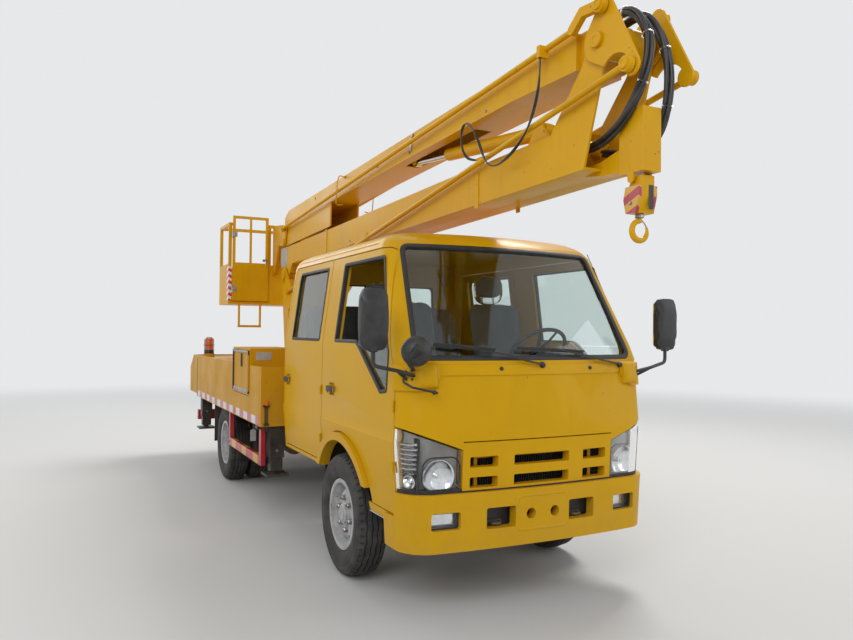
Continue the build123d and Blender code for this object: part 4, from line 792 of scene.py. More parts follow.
# a loop of (y, z) laid on the cab's side, with normals that follow the side's lean
def onSide(loop, side):
    y, z = loop[:, 0], loop[:, 1]
    x = side * cabSide(z)
    lean = (cabSide(z + 0.01) - cabSide(z - 0.01)) / 0.02
    normals = np.stack([np.full_like(y, side), np.zeros_like(y), -lean], axis=1)
    return np.stack([x, y, z], axis=1), normals / np.linalg.norm(normals, axis=1)[:, None]


# rubber round the glass: a lip on the paint and a tongue that goes in to the pane
seal = {"lip": 0.011, "in": 0.010, "proud": 0.004, "deep": 0.024}
lipSection = [(-seal["lip"], 0.0), (-seal["lip"] * 0.9, seal["proud"] * 0.7),
              (-seal["lip"] * 0.3, seal["proud"]), (seal["in"] * 0.7, seal["proud"] * 0.6), (seal["in"], 0.0),
              (seal["in"], -seal["deep"]), (0.0, -seal["deep"]), (-0.002, -0.001)]
screenSection = [(-a * 1.5, b) for a, b in lipSection]
addPiece("screen_seal", ribbon(*onNose(roundedLoop(cab["screen"], cab["screenCorner"])), screenSection),
         "root", "sealRubber")
loop = roundedLoop(cab["rearScreen"], cab["screenCorner"])
backY = np.interp(loop[:, 1], (1.478, 2.052), (1.400, 1.374))
back = np.stack([loop[:, 0], backY, loop[:, 1]], axis=1)
backNormal = np.tile((0.0, 0.999, 0.045), (len(loop), 1))
addPiece("rear_screen_seal", ribbon(back, backNormal, lipSection), "root", "sealRubber")
for side, word in bothSides:
    for name, outline, body in (("front_window_seal_", cab["frontWindow"], "door_front_"),
                                ("rear_window_seal_", cab["rearWindow"], "door_rear_")):
        path, normals = onSide(roundedLoop(outline, cab["windowCorner"]), side)
        section = [(-a * side, b) for a, b in lipSection]
        addPiece(name + word, ribbon(path, normals, section), body + word, "sealRubber")
print("seals ready")


# wheels: one tyre's tread, its disc's cone and hand holes, and where the axles and the twin wheels stand
wheel = {"crown": 0.385, "tread": 0.076, "grooves": (-0.050, -0.017, 0.017, 0.050), "groove": 0.0045,
         "depth": 0.010, "zigzag": 0.0035, "pitches": 52, "cone": (0.122, 0.200), "coneDepth": 0.040,
         "discEdge": 0.198, "holeRing": 0.160, "hole": 0.0235, "axle": 0.385, "track": 0.745,
         "twin": (0.812, 0.586), "rearAxle": 3.36}


# rows across from bead to bead at every angle: groove edges swing in a zigzag, shoulders are notched
def tyre(x, y, z):
    s = wheel
    walls = [(-0.073, 0.208), (-0.073, 0.224), (-0.081, 0.232), (-0.084, 0.236), (-0.090, 0.252),
             (-0.0965, 0.280), (-0.098, 0.302), (-0.0975, 0.318), (-0.096, 0.322), (-0.0975, 0.326),
             (-0.0965, 0.340), (-0.092, 0.352), (-0.088, 0.358), (-0.086, 0.364)]
    rows = [(a, r, 0.0, 0.0) for a, r in walls]
    shoulder = [(0.082, 0.3685, 1.0), (s["tread"], 0.3715, 1.0), (0.066, 0.3765, 1.0), (0.0655, 0.3770, 0.0)]
    rows += [(-a, r, 0.0, n) for a, r, n in shoulder]
    for g in s["grooves"]:
        for off, deep in ((-s["groove"], 0), (-s["groove"] * 0.6, s["depth"]),
                          (s["groove"] * 0.6, s["depth"]), (s["groove"], 0)):
            crown = s["crown"] - 0.0135 * ((g + off) / s["tread"]) ** 2
            rows.append((g + off, crown - deep, 1.0, 0.0))
    rows += [(a, r, 0.0, n) for a, r, n in shoulder[::-1]]
    rows += [(-a, r, 0.0, 0.0) for a, r in walls[::-1]]
    rows = np.array(rows)
    steps = np.array((0.0, 0.04, 0.26, 0.30, 0.65))
    phase = (np.arange(s["pitches"])[:, None] + steps[None, :]).reshape(-1)
    angle = phase * 2 * math.pi / s["pitches"]
    part = phase % 1
    swing = s["zigzag"] * (2 * np.abs(2 * ((phase * 0.5) % 1) - 1) - 1)
    notch = np.where((part > 0.03) & (part < 0.28), 0.008, 0.0)
    across = rows[None, :, 0] + rows[None, :, 2] * swing[:, None]
    radius = rows[None, :, 1] - rows[None, :, 3] * notch[:, None]
    points = np.stack([x + across, y + radius * np.cos(angle)[:, None], z + radius * np.sin(angle)[:, None]],
                      axis=2)
    return surface(points, closeU=True)


# axial place of the disc: flat out to the nuts, then a smooth cone to the barrel
def discHeight(r, dish, out):
    start, end = wheel["cone"]
    t = np.clip((r - start) / (end - start), 0, 1)
    return dish - out * wheel["coneDepth"] * t * t * (3 - 2 * t)


# barrel profile turned round the axle, and a disc of equal sectors, each with a round hand hole
def rimPart(x, y, z, out, dish, bore, holes=8):
    flange = [(0.196, -0.078), (0.203, -0.080), (0.214, -0.0825), (0.221, -0.081), (0.2235, -0.0765),
              (0.2215, -0.073), (0.214, -0.0735), (0.2055, -0.069), (0.204, -0.050), (0.190, -0.030)]
    barrel = flange + [(r, -h) for r, h in flange[::-1]]
    barrel += [(0.196, 0.052), (0.182, 0.031), (0.182, -0.031), (0.196, -0.052), flange[0]]
    points, faces = revolve(barrel, (x, y, z), (1, 0, 0), 72)
    parts = [(points, faces[:-2])]
    # one sector: rings from a round hand hole out to the sector's four sides
    n = 24
    turn = evenAngles(n)
    span = 2 * math.pi / holes
    square = np.stack([np.clip(np.cos(turn) * 1.5, -1, 1), np.clip(np.sin(turn) * 1.5, -1, 1)], axis=1)
    edge, middle, hole = wheel["discEdge"], wheel["holeRing"], wheel["hole"]
    outerR = (edge + bore) / 2 + square[:, 0] * (edge - bore) / 2
    outerA = square[:, 1] * span / 2
    holeR = middle + hole * np.cos(turn)
    holeA = hole * np.sin(turn) / middle
    for k in range(holes):
        for layer, turned in ((0.0045, False), (-0.0045, True)):
            rings = []
            for t in (0.0, 0.06, 0.2, 0.45, 0.75, 1.0):
                r = holeR + (outerR - holeR) * t
                a = holeA + (outerA - holeA) * t + (k + 0.5) * span
                lip = 0.003 * math.exp(-30 * t) * out if layer * out > 0 else 0.0
                h = x + discHeight(r, dish, out) + layer + lip
                rings.append(np.stack([h, y + r * np.cos(a), z + r * np.sin(a)], axis=1))
            parts.append(surface(np.array(rings), closeV=True, flip=turned))
        wall = [parts[-2][0][:n], parts[-1][0][:n]]
        parts.append(surface(np.array(wall), closeV=True, flip=True))
    return join(*parts)


# six nuts with washers and studs at angle 2 pi k / 6 round the hub
def nutRing(x, y, z, out, radius=0.100, size=0.016):
    parts = []
    for k in range(6):
        a = 2 * math.pi * k / 6 + 0.3
        place = (x, y + radius * math.cos(a), z + radius * math.sin(a))
        parts.append(revolve([(size * 1.3, 0), (size * 1.25, 0.004), (size, 0.005)], place, (out, 0, 0), 18))
        parts.append(revolve([(size, 0.004), (size, 0.020), (size * 0.8, 0.024), (0.0085, 0.024),
                              (0.0085, 0.031), (0.006, 0.033), (0, 0.033)], place, (out, 0, 0), 6))
    return join(*parts)


# a stepped hub cap turned round the axle
def hubPart(x, y, z, out, radius, length):
    shape = [(radius + 0.014, -0.004), (radius + 0.012, 0.008), (radius, 0.012), (radius, length * 0.62),
             (radius * 0.90, length * 0.70), (radius * 0.72, length * 0.72), (radius * 0.70, length * 0.9),
             (radius * 0.58, length * 0.985), (radius * 0.3, length), (0, length)]
    return revolve(shape, (x, y, z), (out, 0, 0), 40)


z = wheel["axle"]
for side, word in bothSides:
    body = "wheel_front_" + word
    x = side * wheel["track"]
    addPiece("tyre_front_" + word, tyre(x, 0, z), body, "tyreRubber", replaces=("front_tyre_" + word,))
    rim = join(rimPart(x, 0, z, side, side * 0.042, 0.058),
               hubPart(x + side * 0.046, 0, z, side, 0.060, 0.039),
               revolve([(0.030, -0.10), (0.062, -0.10), (0.062, 0.044)], (x, 0, z), (side, 0, 0), 32),
               tube([(x + side * 0.004, 0.186, z), (x + side * 0.030, 0.176, z),
                     (x + side * 0.046, 0.172, z)], 0.004, 8))
    addPiece("rim_front_" + word, rim, body, "wheelPaint", replaces=("front_rim_" + word,))
    addPiece("nuts_front_" + word, nutRing(x + side * 0.0465, 0, z, side), body, "boltSteel")
    y = wheel["rearAxle"]
    body = "wheels_rear_" + word
    outer, inner = (side * v for v in wheel["twin"])
    addPiece("tyres_rear_" + word, join(tyre(outer, y, z), tyre(inner, y, z)), body,
             "tyreRubber", replaces=("rear_tyres_" + word,))
    middle = (outer + inner) / 2
    rims = join(rimPart(outer, y, z, -side, middle - outer + side * 0.006, 0.078),
                rimPart(inner, y, z, side, middle - inner - side * 0.006, 0.078),
                hubPart(middle + side * 0.008, y, z, side, 0.076, 0.142),
                revolve([(0.041, -0.08), (0.079, -0.08), (0.079, 0.009)], (middle, y, z), (side, 0, 0), 32))
    addPiece("rims_rear_" + word, rims, body, "wheelPaint", replaces=("rear_rims_" + word,))
    addPiece("nuts_rear_" + word, nutRing(middle + side * 0.011, y, z, side), body, "boltSteel")
print("wheels ready")


# a place on the level curve at height z: s from 0 to 1 runs along the nose's arc, 1 to 2 round the corner
def cabCurve(s, z, inset=0.0, side=1):
    s, z = np.broadcast_arrays(np.asarray(s, float), np.asarray(z, float))
    half, nose, cx, cy, sy = cabRow(z)
    rise = np.maximum(cy - nose, 1e-4)
    radius = (cx ** 2 + rise ** 2) / (2 * rise)
    angle = np.arcsin(cx / radius) * np.clip(s, 0, 1)
    x1, y1 = (radius - inset) * np.sin(angle), nose + radius - (radius - inset) * np.cos(angle)
    ux, uy, r = cornerArc(half, cx, cy, sy)
    a0, a1 = np.arctan2(cy - uy, cx - ux), np.arctan2(sy - uy, half - ux)
    a = a0 + (a1 - a0) * np.clip(s - 1, 0, 1)
    x2, y2 = ux + (r - inset) * np.cos(a), uy + (r - inset) * np.sin(a)
    x, y = np.where(s <= 1, x1, x2), np.where(s <= 1, y1, y2)
    return np.stack([side * x, y, z], axis=-1)


# lamps: the front unit, its bowls, the fog lamps
lamp = {"from": 0.800, "to": 1.985, "low": 0.704, "top": ((0.508, 0.914), (0.746, 1.002), (0.900, 1.058)),
        "bowl": (0.634, 0.779, 0.088), "turn": (0.792, 0.748, 0.033), "divider": 0.746,
        "fog": (0.519, 0.683, 0.503, 0.589),
        "arch": ((0.513, 0.715), (0.513, 0.884), (0.724, 0.884), (0.724, 0.706))}


# the lamp's front or back sheet: along the level curve, and from its foot to the sloping top edge
def lampSheet(side, inset, thick):
    s = np.concatenate([np.linspace(lamp["from"], 1, 6), np.linspace(1, lamp["to"], 16)[1:]])
    v = np.linspace(0, 1, 10)
    x = cabCurve(s, 0.85, inset)[:, 0]
    top = np.interp(x, *np.array(lamp["top"]).T)
    z = lamp["low"] + (top - lamp["low"])[:, None] * v[None, :]
    front = cabCurve(s[:, None], z, inset, side)
    back = cabCurve(s[:, None], z, inset + thick, side)
    turned = side < 0
    a, fa = surface(front, flip=not turned)
    b, fb = surface(back, flip=turned)
    high, wide = len(v), len(s)
    n = wide * high
    rim = list(range(high)) + [k * high + high - 1 for k in range(1, wide)]
    rim += [(wide - 1) * high + k for k in range(high - 2, -1, -1)]
    rim += [k * high for k in range(wide - 2, 0, -1)]
    edge = [[p, q, n + q, n + p] for p, q in zip(rim, rim[1:] + rim[:1])]
    if turned:
        edge = [face[::-1] for face in edge]
    return np.concatenate([a, b]), fa + [[n + k for k in face] for face in fb] + edge


# a reflector: a parabola turned round the axis that leaves the face, with a bulb's cap in the middle
def bowl(x, z, radius, depth, side, inset):
    centre = np.array((side * x, float(cabNose(x, z)), z))
    normal = normalAt(x, z) * (side, 1, 1)
    r = np.linspace(radius, 0.012, 12)
    inner = [(a, -inset - depth * (1 - (a / radius) ** 2)) for a in r]
    outer = [(radius, -inset - depth - 0.004), (radius + 0.004, -inset - depth * 0.3),
             (radius + 0.004, -inset)]
    shell = revolve([(0.0, inner[-1][1] - 0.002)] + outer + inner + [(0.0, inner[-1][1])], centre, normal, 48)
    bulb = revolve([(0.012, -inset - depth), (0.013, -inset - depth * 0.45), (0.010, -inset - depth * 0.3),
                    (0, -inset - depth * 0.28)], centre, normal, 24)
    return join(shell, bulb)


# a level strip round the whole front, from one side over the nose to the other
def noseStrip(z0, z1, sTop, inset, deep, samples=60):
    s = np.linspace(-sTop, sTop, samples)
    side = np.where(s < 0, -1.0, 1.0)
    rows = []
    for z, i in ((z0, inset), (z1, inset), (z1, deep), (z0, deep)):
        p = cabCurve(np.abs(s), np.full_like(s, z), i)
        p[:, 0] *= side
        rows.append(p)
    points, faces = surface(np.stack(rows, axis=1), closeV=True)
    return points, faces + [[0, 1, 2, 3], [len(points) - 1 - k for k in range(4)]]


lens, shells, frames, housings = [], [], [], []
for side in (1, -1):
    lens.append(lampSheet(side, 0.005, 0.004))
    housings.append(lampSheet(side, 0.062, 0.010))
    shells += [bowl(*lamp["bowl"], 0.030, side, 0.020), bowl(*lamp["turn"], 0.016, side, 0.022)]
    for z0 in np.linspace(0.800, 0.955, 7):
        shells.append(tube(cabCurve(np.linspace(1.42, 1.92, 12), np.full(12, z0), 0.018, side), 0.007, 6))
    x, z = roundedLoop(lamp["arch"], 0.055, 0.02).T
    path = np.stack([side * x, cabNose(x, z, -0.013), z], axis=1)
    frames.append(tube(path, 0.0045, 8, closed=True))
    zs = np.linspace(0.706, 0.985, 12)
    divider = []
    for o, i in ((-0.006, 0.008), (0.006, 0.008), (0.006, 0.060), (-0.006, 0.060)):
        x = np.full(12, side * (lamp["divider"] + o))
        divider.append(np.stack([x, cabNose(lamp["divider"], zs, -i), zs], axis=1))
    frames.append(surface(np.stack(divider, axis=1), closeV=True, flip=side > 0))
    x0, x1, z0, z1 = lamp["fog"]
    x, z = np.meshgrid(np.linspace(x0, x1, 12), np.linspace(z0, z1, 8), indexing="ij")
    for inset, thick, bag in ((0.012, 0.004, lens), (0.040, 0.006, shells)):
        front = np.stack([side * x, cabNose(x, z, -inset), z], axis=-1)
        back = front + (0, thick, 0)
        bag += [surface(front, flip=side < 0), surface(back, flip=side > 0)]
    x, z = roundedLoop([(x0, z0), (x1, z0), (x1, z1), (x0, z1)], 0.012, 0.02).T
    ring = np.stack([side * x, cabNose(x, z, -0.006), z], axis=1)
    frames.append(ribbon(ring, noseNormal(x, z) * (side, 1, 1),
                         [(-0.006 * side, 0.0), (0.004 * side, 0.0), (0.004 * side, -0.03),
                          (-0.006 * side, -0.03)]))
addPiece("lamp_lenses", join(*lens), "root", "lampGlass", replaces=("lamps",))
addPiece("lamp_bowls", join(*shells), "root", "reflector")
addPiece("lamp_housings", join(*housings), "root", "palePlastic")
addPiece("lamp_frames", join(*frames), "root", "trimPlastic")
addPiece("front_black_strip", noseStrip(0.6885, 0.7115, 1.95, 0.004, 0.05), "root", "trimPlastic")

# radiator behind the grille's slots
fins = [block((x, -0.945, 0.705), (x + 0.003, -0.925, 0.900), 0.0008) for x in np.arange(-0.47, 0.475, 0.016)]
fins += [block((-0.48, -0.935, z), (0.48, -0.931, z + 0.004), 0.001) for z in np.arange(0.712, 0.9, 0.018)]
fins.append(block((-0.49, -0.928, 0.700), (0.49, -0.905, 0.905)))
addPiece("radiator", join(*fins), "root", "trimPlastic")
print("lamps ready")


# beacon on its pedestal: ribbed orange dome, black foot and cap, wire guard
beacon = {"place": (-0.850, 4.620), "low": 1.270, "top": 1.462, "radius": 0.052, "guard": 0.066,
          "wire": 0.0025}
bx, by = beacon["place"]
guard = beacon["guard"]
height = beacon["top"] - beacon["low"]
r = beacon["radius"]
ribs = [(r - (0.0015 if k % 2 else 0.0), 0.045 + (height - 0.075) * k / 24) for k in range(25)]
addPiece("beacon_dome",
         revolve(ribs + [(r * 0.9, height - 0.018), (r * 0.6, height - 0.006), (0, height - 0.003)],
                 (bx, by, beacon["low"]), (0, 0, 1), 40), "root", "orangePlastic")
foot = revolve([(r + 0.002, 0), (r + 0.003, 0.03), (r, 0.045), (r * 0.8, 0.048), (0, 0.048)],
               (bx, by, beacon["low"]), (0, 0, 1), 40)
cage = [revolve([(0.006, 0), (0.006, 0.012), (0, 0.013)], (bx, by, beacon["top"] - 0.012), (0, 0, 1), 12)]
for k in range(4):
    a = math.pi / 4 + k * math.pi / 2
    c, n = math.cos(a), math.sin(a)
    wire = bend([(bx + c * guard, by + n * guard, 1.262),
                 (bx + c * guard, by + n * guard, beacon["top"] - 0.022),
                 (bx + c * 0.03, by + n * 0.03, beacon["top"] + 0.001), (bx, by, beacon["top"] + 0.001)],
                0.03)
    cage.append(tube(wire, beacon["wire"], 8))
ring = [(bx + guard * math.cos(a), by + guard * math.sin(a), 1.37) for a in evenAngles(28)]
cage.append(tube(ring, beacon["wire"], 8, closed=True))
addPiece("beacon_foot", join(foot, *cage), "root", "trimPlastic")


# cab trim: wipers, washers, mirrors, aerial, handles, gutters, steps
wiper = {"arms": (((0.014, 1.370), (-0.452, 1.462)), ((0.617, 1.362), (0.104, 1.452))),
         "blades": (((-0.628, 1.481), (-0.276, 1.452)), ((-0.128, 1.462), (0.335, 1.440)))}


# a point on the cab's face moved out along its normal
def overNose(x, z, out):
    n = normalAt(x, z)
    return np.array((x, float(cabNose(x, z)), z)) + n * out


parts = []
for (pivot, tip), (b0, b1) in zip(wiper["arms"], wiper["blades"]):
    foot = overNose(*pivot, 0.0)
    n = normalAt(pivot[0], pivot[1])
    parts.append(revolve([(0.019, -0.004), (0.018, 0.012), (0.013, 0.022), (0, 0.025)], foot, n, 24))
    line = [overNose(*pivot, 0.018)] + [overNose(pivot[0] + (tip[0] - pivot[0]) * t,
                                                 pivot[1] + (tip[1] - pivot[1]) * t, 0.030 - 0.006 * t)
                                        for t in np.linspace(0.1, 1, 12)]
    wide = np.linspace(1.5, 0.8, len(line))
    parts.append(sweep(line, [(-0.007, -0.003), (0.007, -0.003), (0.007, 0.003), (-0.007, 0.003)],
                       scale=wide))
    spine, rubber = [], []
    for t in np.linspace(0, 1, 14):
        x, z = b0[0] + (b1[0] - b0[0]) * t, b0[1] + (b1[1] - b0[1]) * t
        spine.append(overNose(x, z, 0.018 + 0.006 * math.sin(math.pi * t)))
        rubber.append(overNose(x, z, 0.006))
    parts.append(sweep(spine, [(-0.004, -0.004), (0.004, -0.004), (0.004, 0.004), (-0.004, 0.004)]))
    parts.append(sweep(rubber, [(-0.003, -0.009), (0.003, -0.009), (0.003, 0.009), (-0.003, 0.009)]))
    for k in (1, 4, 9, 12):
        parts.append(tube([spine[k], rubber[k]], 0.004, 6))
for x, z in ((-0.254, 1.352), (0.365, 1.350)):
    parts.append(revolve([(0.011, -0.002), (0.011, 0.006), (0.007, 0.012), (0, 0.013)], overNose(x, z, 0.006),
                         normalAt(x, z), 16))
addPiece("wipers", join(*parts), "root", "trimPlastic")

mirrorSet = {"centre": (1.000, -0.940, 1.615), "half": (0.079, 0.034, 0.163), "power": 5.0}


# a superellipsoid: each direction's length is the power norm of its share of the half sizes
def roundedHead(centre, half, power, samples=(36, 18)):
    a = evenAngles(samples[0])
    b = np.linspace(-math.pi / 2, math.pi / 2, samples[1])
    a, b = np.meshgrid(a, b, indexing="ij")
    d = np.stack([np.cos(a) * np.cos(b), np.sin(b), np.sin(a) * np.cos(b)], axis=-1)
    norm = np.sum(np.abs(d / np.array(half)) ** power, axis=-1) ** (-1 / power)
    return surface(np.array(centre) + d * norm[..., None], closeU=True)


# a rounded rectangle in the mirror head's rear face
def mirrorGlass(side):
    x, y, z = mirrorSet["centre"]
    hx, hy, hz = mirrorSet["half"]
    loop = roundedLoop([(side * (x - hx + 0.012), z - hz + 0.014), (side * (x + hx - 0.012), z - hz + 0.014),
                        (side * (x + hx - 0.012), z + hz - 0.014), (side * (x - hx + 0.012), z + hz - 0.014)],
                       0.03)
    return plate(loop, 1, y + hy - 0.006, y + hy + 0.002)


heads, glass, arms = [], [], []
for side in (1, -1):
    x, y, z = mirrorSet["centre"]
    heads.append(roundedHead((side * x, y, z), mirrorSet["half"], mirrorSet["power"]))
    glass.append(mirrorGlass(side))
    arm = bend([(side * 0.745, -0.925, 1.315), (side * 0.86, -0.965, 1.345), (side * 1.0, -0.940, 1.375),
                (side * 1.0, -0.940, 1.480)], 0.03)
    arms.append(tube(arm, 0.0105, 10))
    arms.append(tube([(side * 0.775, -0.900, 1.285), (side * 0.86, -0.952, 1.338)], 0.008, 8))
    arms.append(block((side * 1.0 - 0.02, -0.962, 1.445), (side * 1.0 + 0.02, -0.918, 1.49), 0.006))
    for zz in (1.300, 1.345):
        arms.append(bolt((side * 0.770, float(cabNose(0.77, zz, 0.014)), zz), (side * 0.5, -0.86, 0), 0.008,
                         0.006))
addPiece("mirror_heads", join(*heads, *arms), "root", "trimPlastic", replaces=("mirrors",))
addPiece("mirror_glass", join(*glass), "root", "mirrorSilver", smooth=20)

# aerial on the left corner: a rod, its foot and two clips
parts = [tube([(0.800, -0.868, 1.395), (0.792, -0.83, 1.47), (0.722, -0.505, 2.085)], 0.0022, 8),
         revolve([(0.010, 0), (0.010, 0.012), (0.005, 0.026), (0, 0.027)], (0.800, -0.868, 1.388),
                 (0, 0.2, 1), 16)]
for t in (0.25, 0.85):
    x, y, z = (0.800 + (0.722 - 0.800) * t, -0.868 + (-0.505 + 0.868) * t, 1.395 + (2.085 - 1.395) * t)
    parts.append(block((x - 0.006, y - 0.006, z - 0.008), (x + 0.006, y + 0.012, z + 0.008), 0.002))
addPiece("aerial", join(*parts), "root", "trimPlastic")

# door pulls: a black grip over the recess, with a lock cylinder
for side, word in bothSides:
    for body, y in (("door_front_", 0.180), ("door_rear_", 1.225)):
        out = side * 0.8545
        grip = sweep([(side * 0.838, y - 0.066, 1.172), (side * 0.8505, y - 0.060, 1.172),
                      (out, y - 0.045, 1.172), (out + side * 0.001, y, 1.172), (out, y + 0.045, 1.172),
                      (side * 0.8505, y + 0.060, 1.172), (side * 0.838, y + 0.066, 1.172)],
                     [(-0.006, -0.0165), (0.006, -0.0165), (0.008, 0), (0.006, 0.0165), (-0.006, 0.0165)])
        lock = revolve([(0.0095, 0), (0.0095, 0.003), (0.003, 0.004), (0, 0.004)],
                       (side * 0.8345, y + 0.085, 1.150), (side, 0, 0), 16)
        addPiece(body.replace("door_", "pull_") + word, join(grip, lock), body + word, "trimPlastic")
# sill step between door and bumper, pale grey
for side, word in bothSides:
    x0, x1 = sorted((side * 0.700, side * 0.822))
    addPiece("door_step_" + word, block((x0, -0.690, 0.5125), (x1, -0.475, 0.5165), 0.001), "root",
             "plateSilver")
# roof gutter over the doors
for side, word in bothSides:
    y = np.linspace(-0.36, 1.26, 40)
    path = np.stack([np.full_like(y, side * 0.738), y, np.full_like(y, 2.079)], axis=1)
    addPiece("gutter_" + word, sweep(path, [(0.0, -0.006), (0.010 * -side, -0.006), (0.010 * -side, 0.001),
                                            (0.007 * -side, 0.001), (0.007 * -side, -0.003), (0.0, -0.003)]),
             "root", "cabYellow")
print("cab trim ready")


# seats: foam pads swollen by a cloth simulation, base boxes and the clear delivery film
seatSet = {"rows": ((0.210, 0.660, -0.330, 0.170), (-0.660, -0.060, -0.330, 0.170),
                    (-0.700, 0.700, 0.780, 1.240)), "top": 1.230, "backTop": 1.780, "lean": 0.110,
           "cap": 0.014, "frames": 20, "pressure": 4.0}
tree, shader = plainFinish("seatFabric", "seat_fabric", (0.105, 0.108, 0.115), (0.15, 0.152, 0.16), 0.85, 20,
                           700, 0.2)
shader.inputs["Sheen Weight"].default_value = 0.35
weave = addNode(tree, "TexWave", {"Scale": 160, "Distortion": 0.6, "Vector": objectPoint(tree)})
bump = addNode(tree, "Bump", {"Strength": 0.35, "Distance": 0.0008, "Height": weave.outputs["Fac"],
                              "Normal": shader.inputs["Normal"].links[0].from_socket})
tree.links.new(bump.outputs["Normal"], shader.inputs["Normal"])
glassFinish("clearFilm", (0.96, 0.97, 0.98), 0.12, 1.12, 0.2)


# six grids of a block pulled on to a superellipsoid, merged at their edges
def boxSphere(low, high, counts, power=7.0):
    low, high = np.array(low, float), np.array(high, float)
    mid, half = (low + high) / 2, (high - low) / 2
    verts, faces, count = [], [], 0
    for axis in range(3):
        u, v = (axis + 1) % 3, (axis + 2) % 3
        for end in (-1, 1):
            a, b = np.meshgrid(np.linspace(-1, 1, counts[u] + 1), np.linspace(-1, 1, counts[v] + 1),
                               indexing="ij")
            p = np.zeros(a.shape + (3,))
            p[..., axis], p[..., u], p[..., v] = end, a, b
            norm = np.sum(np.abs(p) ** power, axis=-1) ** (-1 / power)
            points, loops = surface(mid + p * norm[..., None] * half, flip=end < 0)
            verts.append(points)
            faces += [[count + k for k in loop] for loop in loops]
            count += len(points)
    verts = np.concatenate(verts)
    key, back = np.unique(np.round(verts, 5), axis=0, return_inverse=True)
    back = back.reshape(-1)
    return key, [[int(back[k]) for k in face] for face in faces]


# the pad after some steps of cloth with air pressure in it, no point moved further than the cap
def swollen(name, part):
    points, faces = part
    mesh = bpy.data.meshes.new(name)
    mesh.from_pydata(points.tolist(), [], faces)
    pad = bpy.data.objects.new(name, mesh)
    scene.collection.objects.link(pad)
    cloth = pad.modifiers.new("air", "CLOTH")
    cloth.settings.use_pressure = True
    cloth.settings.uniform_pressure_force = seatSet["pressure"]
    cloth.settings.effector_weights.gravity = 0
    cloth.settings.quality = 4
    cloth.point_cache.frame_start = 1
    cloth.point_cache.frame_end = seatSet["frames"]
    for step in range(1, seatSet["frames"] + 1):
        scene.frame_set(step)
    graph = bpy.context.evaluated_depsgraph_get()
    done = pad.evaluated_get(graph).to_mesh()
    moved = np.zeros(len(done.vertices) * 3)
    done.vertices.foreach_get("co", moved)
    pad.evaluated_get(graph).to_mesh_clear()
    scene.frame_set(1)
    bpy.data.objects.remove(pad)
    bpy.data.meshes.remove(mesh)
    shift = moved.reshape(-1, 3) - points
    far = np.linalg.norm(shift, axis=1)[:, None]
    return points + shift * np.minimum(1, seatSet["cap"] / np.maximum(far, 1e-6)), faces


# sewn channels: every point sinks along -axis by depth * exp(-(distance to the line / width)^2)
def channelled(part, axis, lines, depth, width):
    points, faces = part
    points = points.copy()
    along = points[:, axis]
    centre = points.mean(axis=0)
    sink = np.zeros(len(points))
    for line in lines:
        sink = np.maximum(sink, depth * np.exp(-((along - line) / width) ** 2))
    away = points - centre
    away[:, axis] = 0
    size = np.linalg.norm(away, axis=1)[:, None]
    return points - away / np.maximum(size, 1e-6) * sink[:, None], faces


# a back pad sheared rearwards: y grows with height by the seat's lean
def leaned(part):
    points, faces = part
    points = points.copy()
    rise = np.clip((points[:, 2] - seatSet["top"]) / (seatSet["backTop"] - seatSet["top"]), 0, 1)
    points[:, 1] += seatSet["lean"] * rise
    return points, faces


# film over a pad: every point pushed out, with folds from three crossing waves
def crinkled(part, grow, ripple):
    points, faces = part
    out = points - points.mean(axis=0)
    out /= np.linalg.norm(out, axis=1)[:, None]
    x, y, z = points.T
    wave = (np.sin(61 * x + 23 * z + 9 * np.sin(17 * y)) * np.sin(37 * y - 29 * z)
            + np.sin(83 * z + 31 * x - 7 * y)) / 2
    return points + out * (grow + ripple * wave)[:, None], faces


pads, films, bases = [], [], []
for x0, x1, y0, y1 in seatSet["rows"]:
    wide = max(18, int((x1 - x0) / 0.022))
    cushion = boxSphere((x0 + 0.010, y0 + 0.012, seatSet["top"] - 0.125),
                        (x1 - 0.010, y1 - 0.012, seatSet["top"] - 0.012), (wide, 22, 6))
    back = boxSphere((x0 + 0.016, y1 - 0.088, seatSet["top"] - 0.030),
                     (x1 - 0.016, y1 - 0.012, seatSet["backTop"] - 0.010), (wide, 5, 26))
    cushion = swollen("cushion", cushion)
    back = swollen("backrest", back)
    third = (x1 - x0) / 3
    lines = [x0 + third * 0.75, x1 - third * 0.75] if x1 - x0 < 1 else [-0.35, 0.0, 0.35]
    cushion = channelled(cushion, 0, lines, 0.010, 0.012)
    back = leaned(channelled(channelled(back, 0, lines, 0.010, 0.012), 2, [1.48], 0.008, 0.012))
    pads.append(join(cushion, back))
    films.append(join(crinkled(cushion, 0.004, 0.0035), crinkled(back, 0.004, 0.0035)))
    bases.append(block((x0 + 0.030, y0 + 0.040, 0.902), (x1 - 0.030, y1 - 0.020, seatSet["top"] - 0.122),
                       0.008))
    bases.append(block((x0 - 0.004, y1 - 0.12, 1.08), (x0 + 0.012, y1 - 0.03, 1.22), 0.006))
for name, pad, cover in zip(("driver_seat", "passenger_seat", "rear_bench"), pads, films):
    piece = addPiece(name, pad, "root", "seatFabric", replaces=("seats",) if name == "driver_seat" else (),
                     smooth=70)
    addPiece(name + "_film", cover, "root", "clearFilm", smooth=40)
addPiece("seat_bases", join(*bases), "root", "dashPlastic")
print("seats ready")


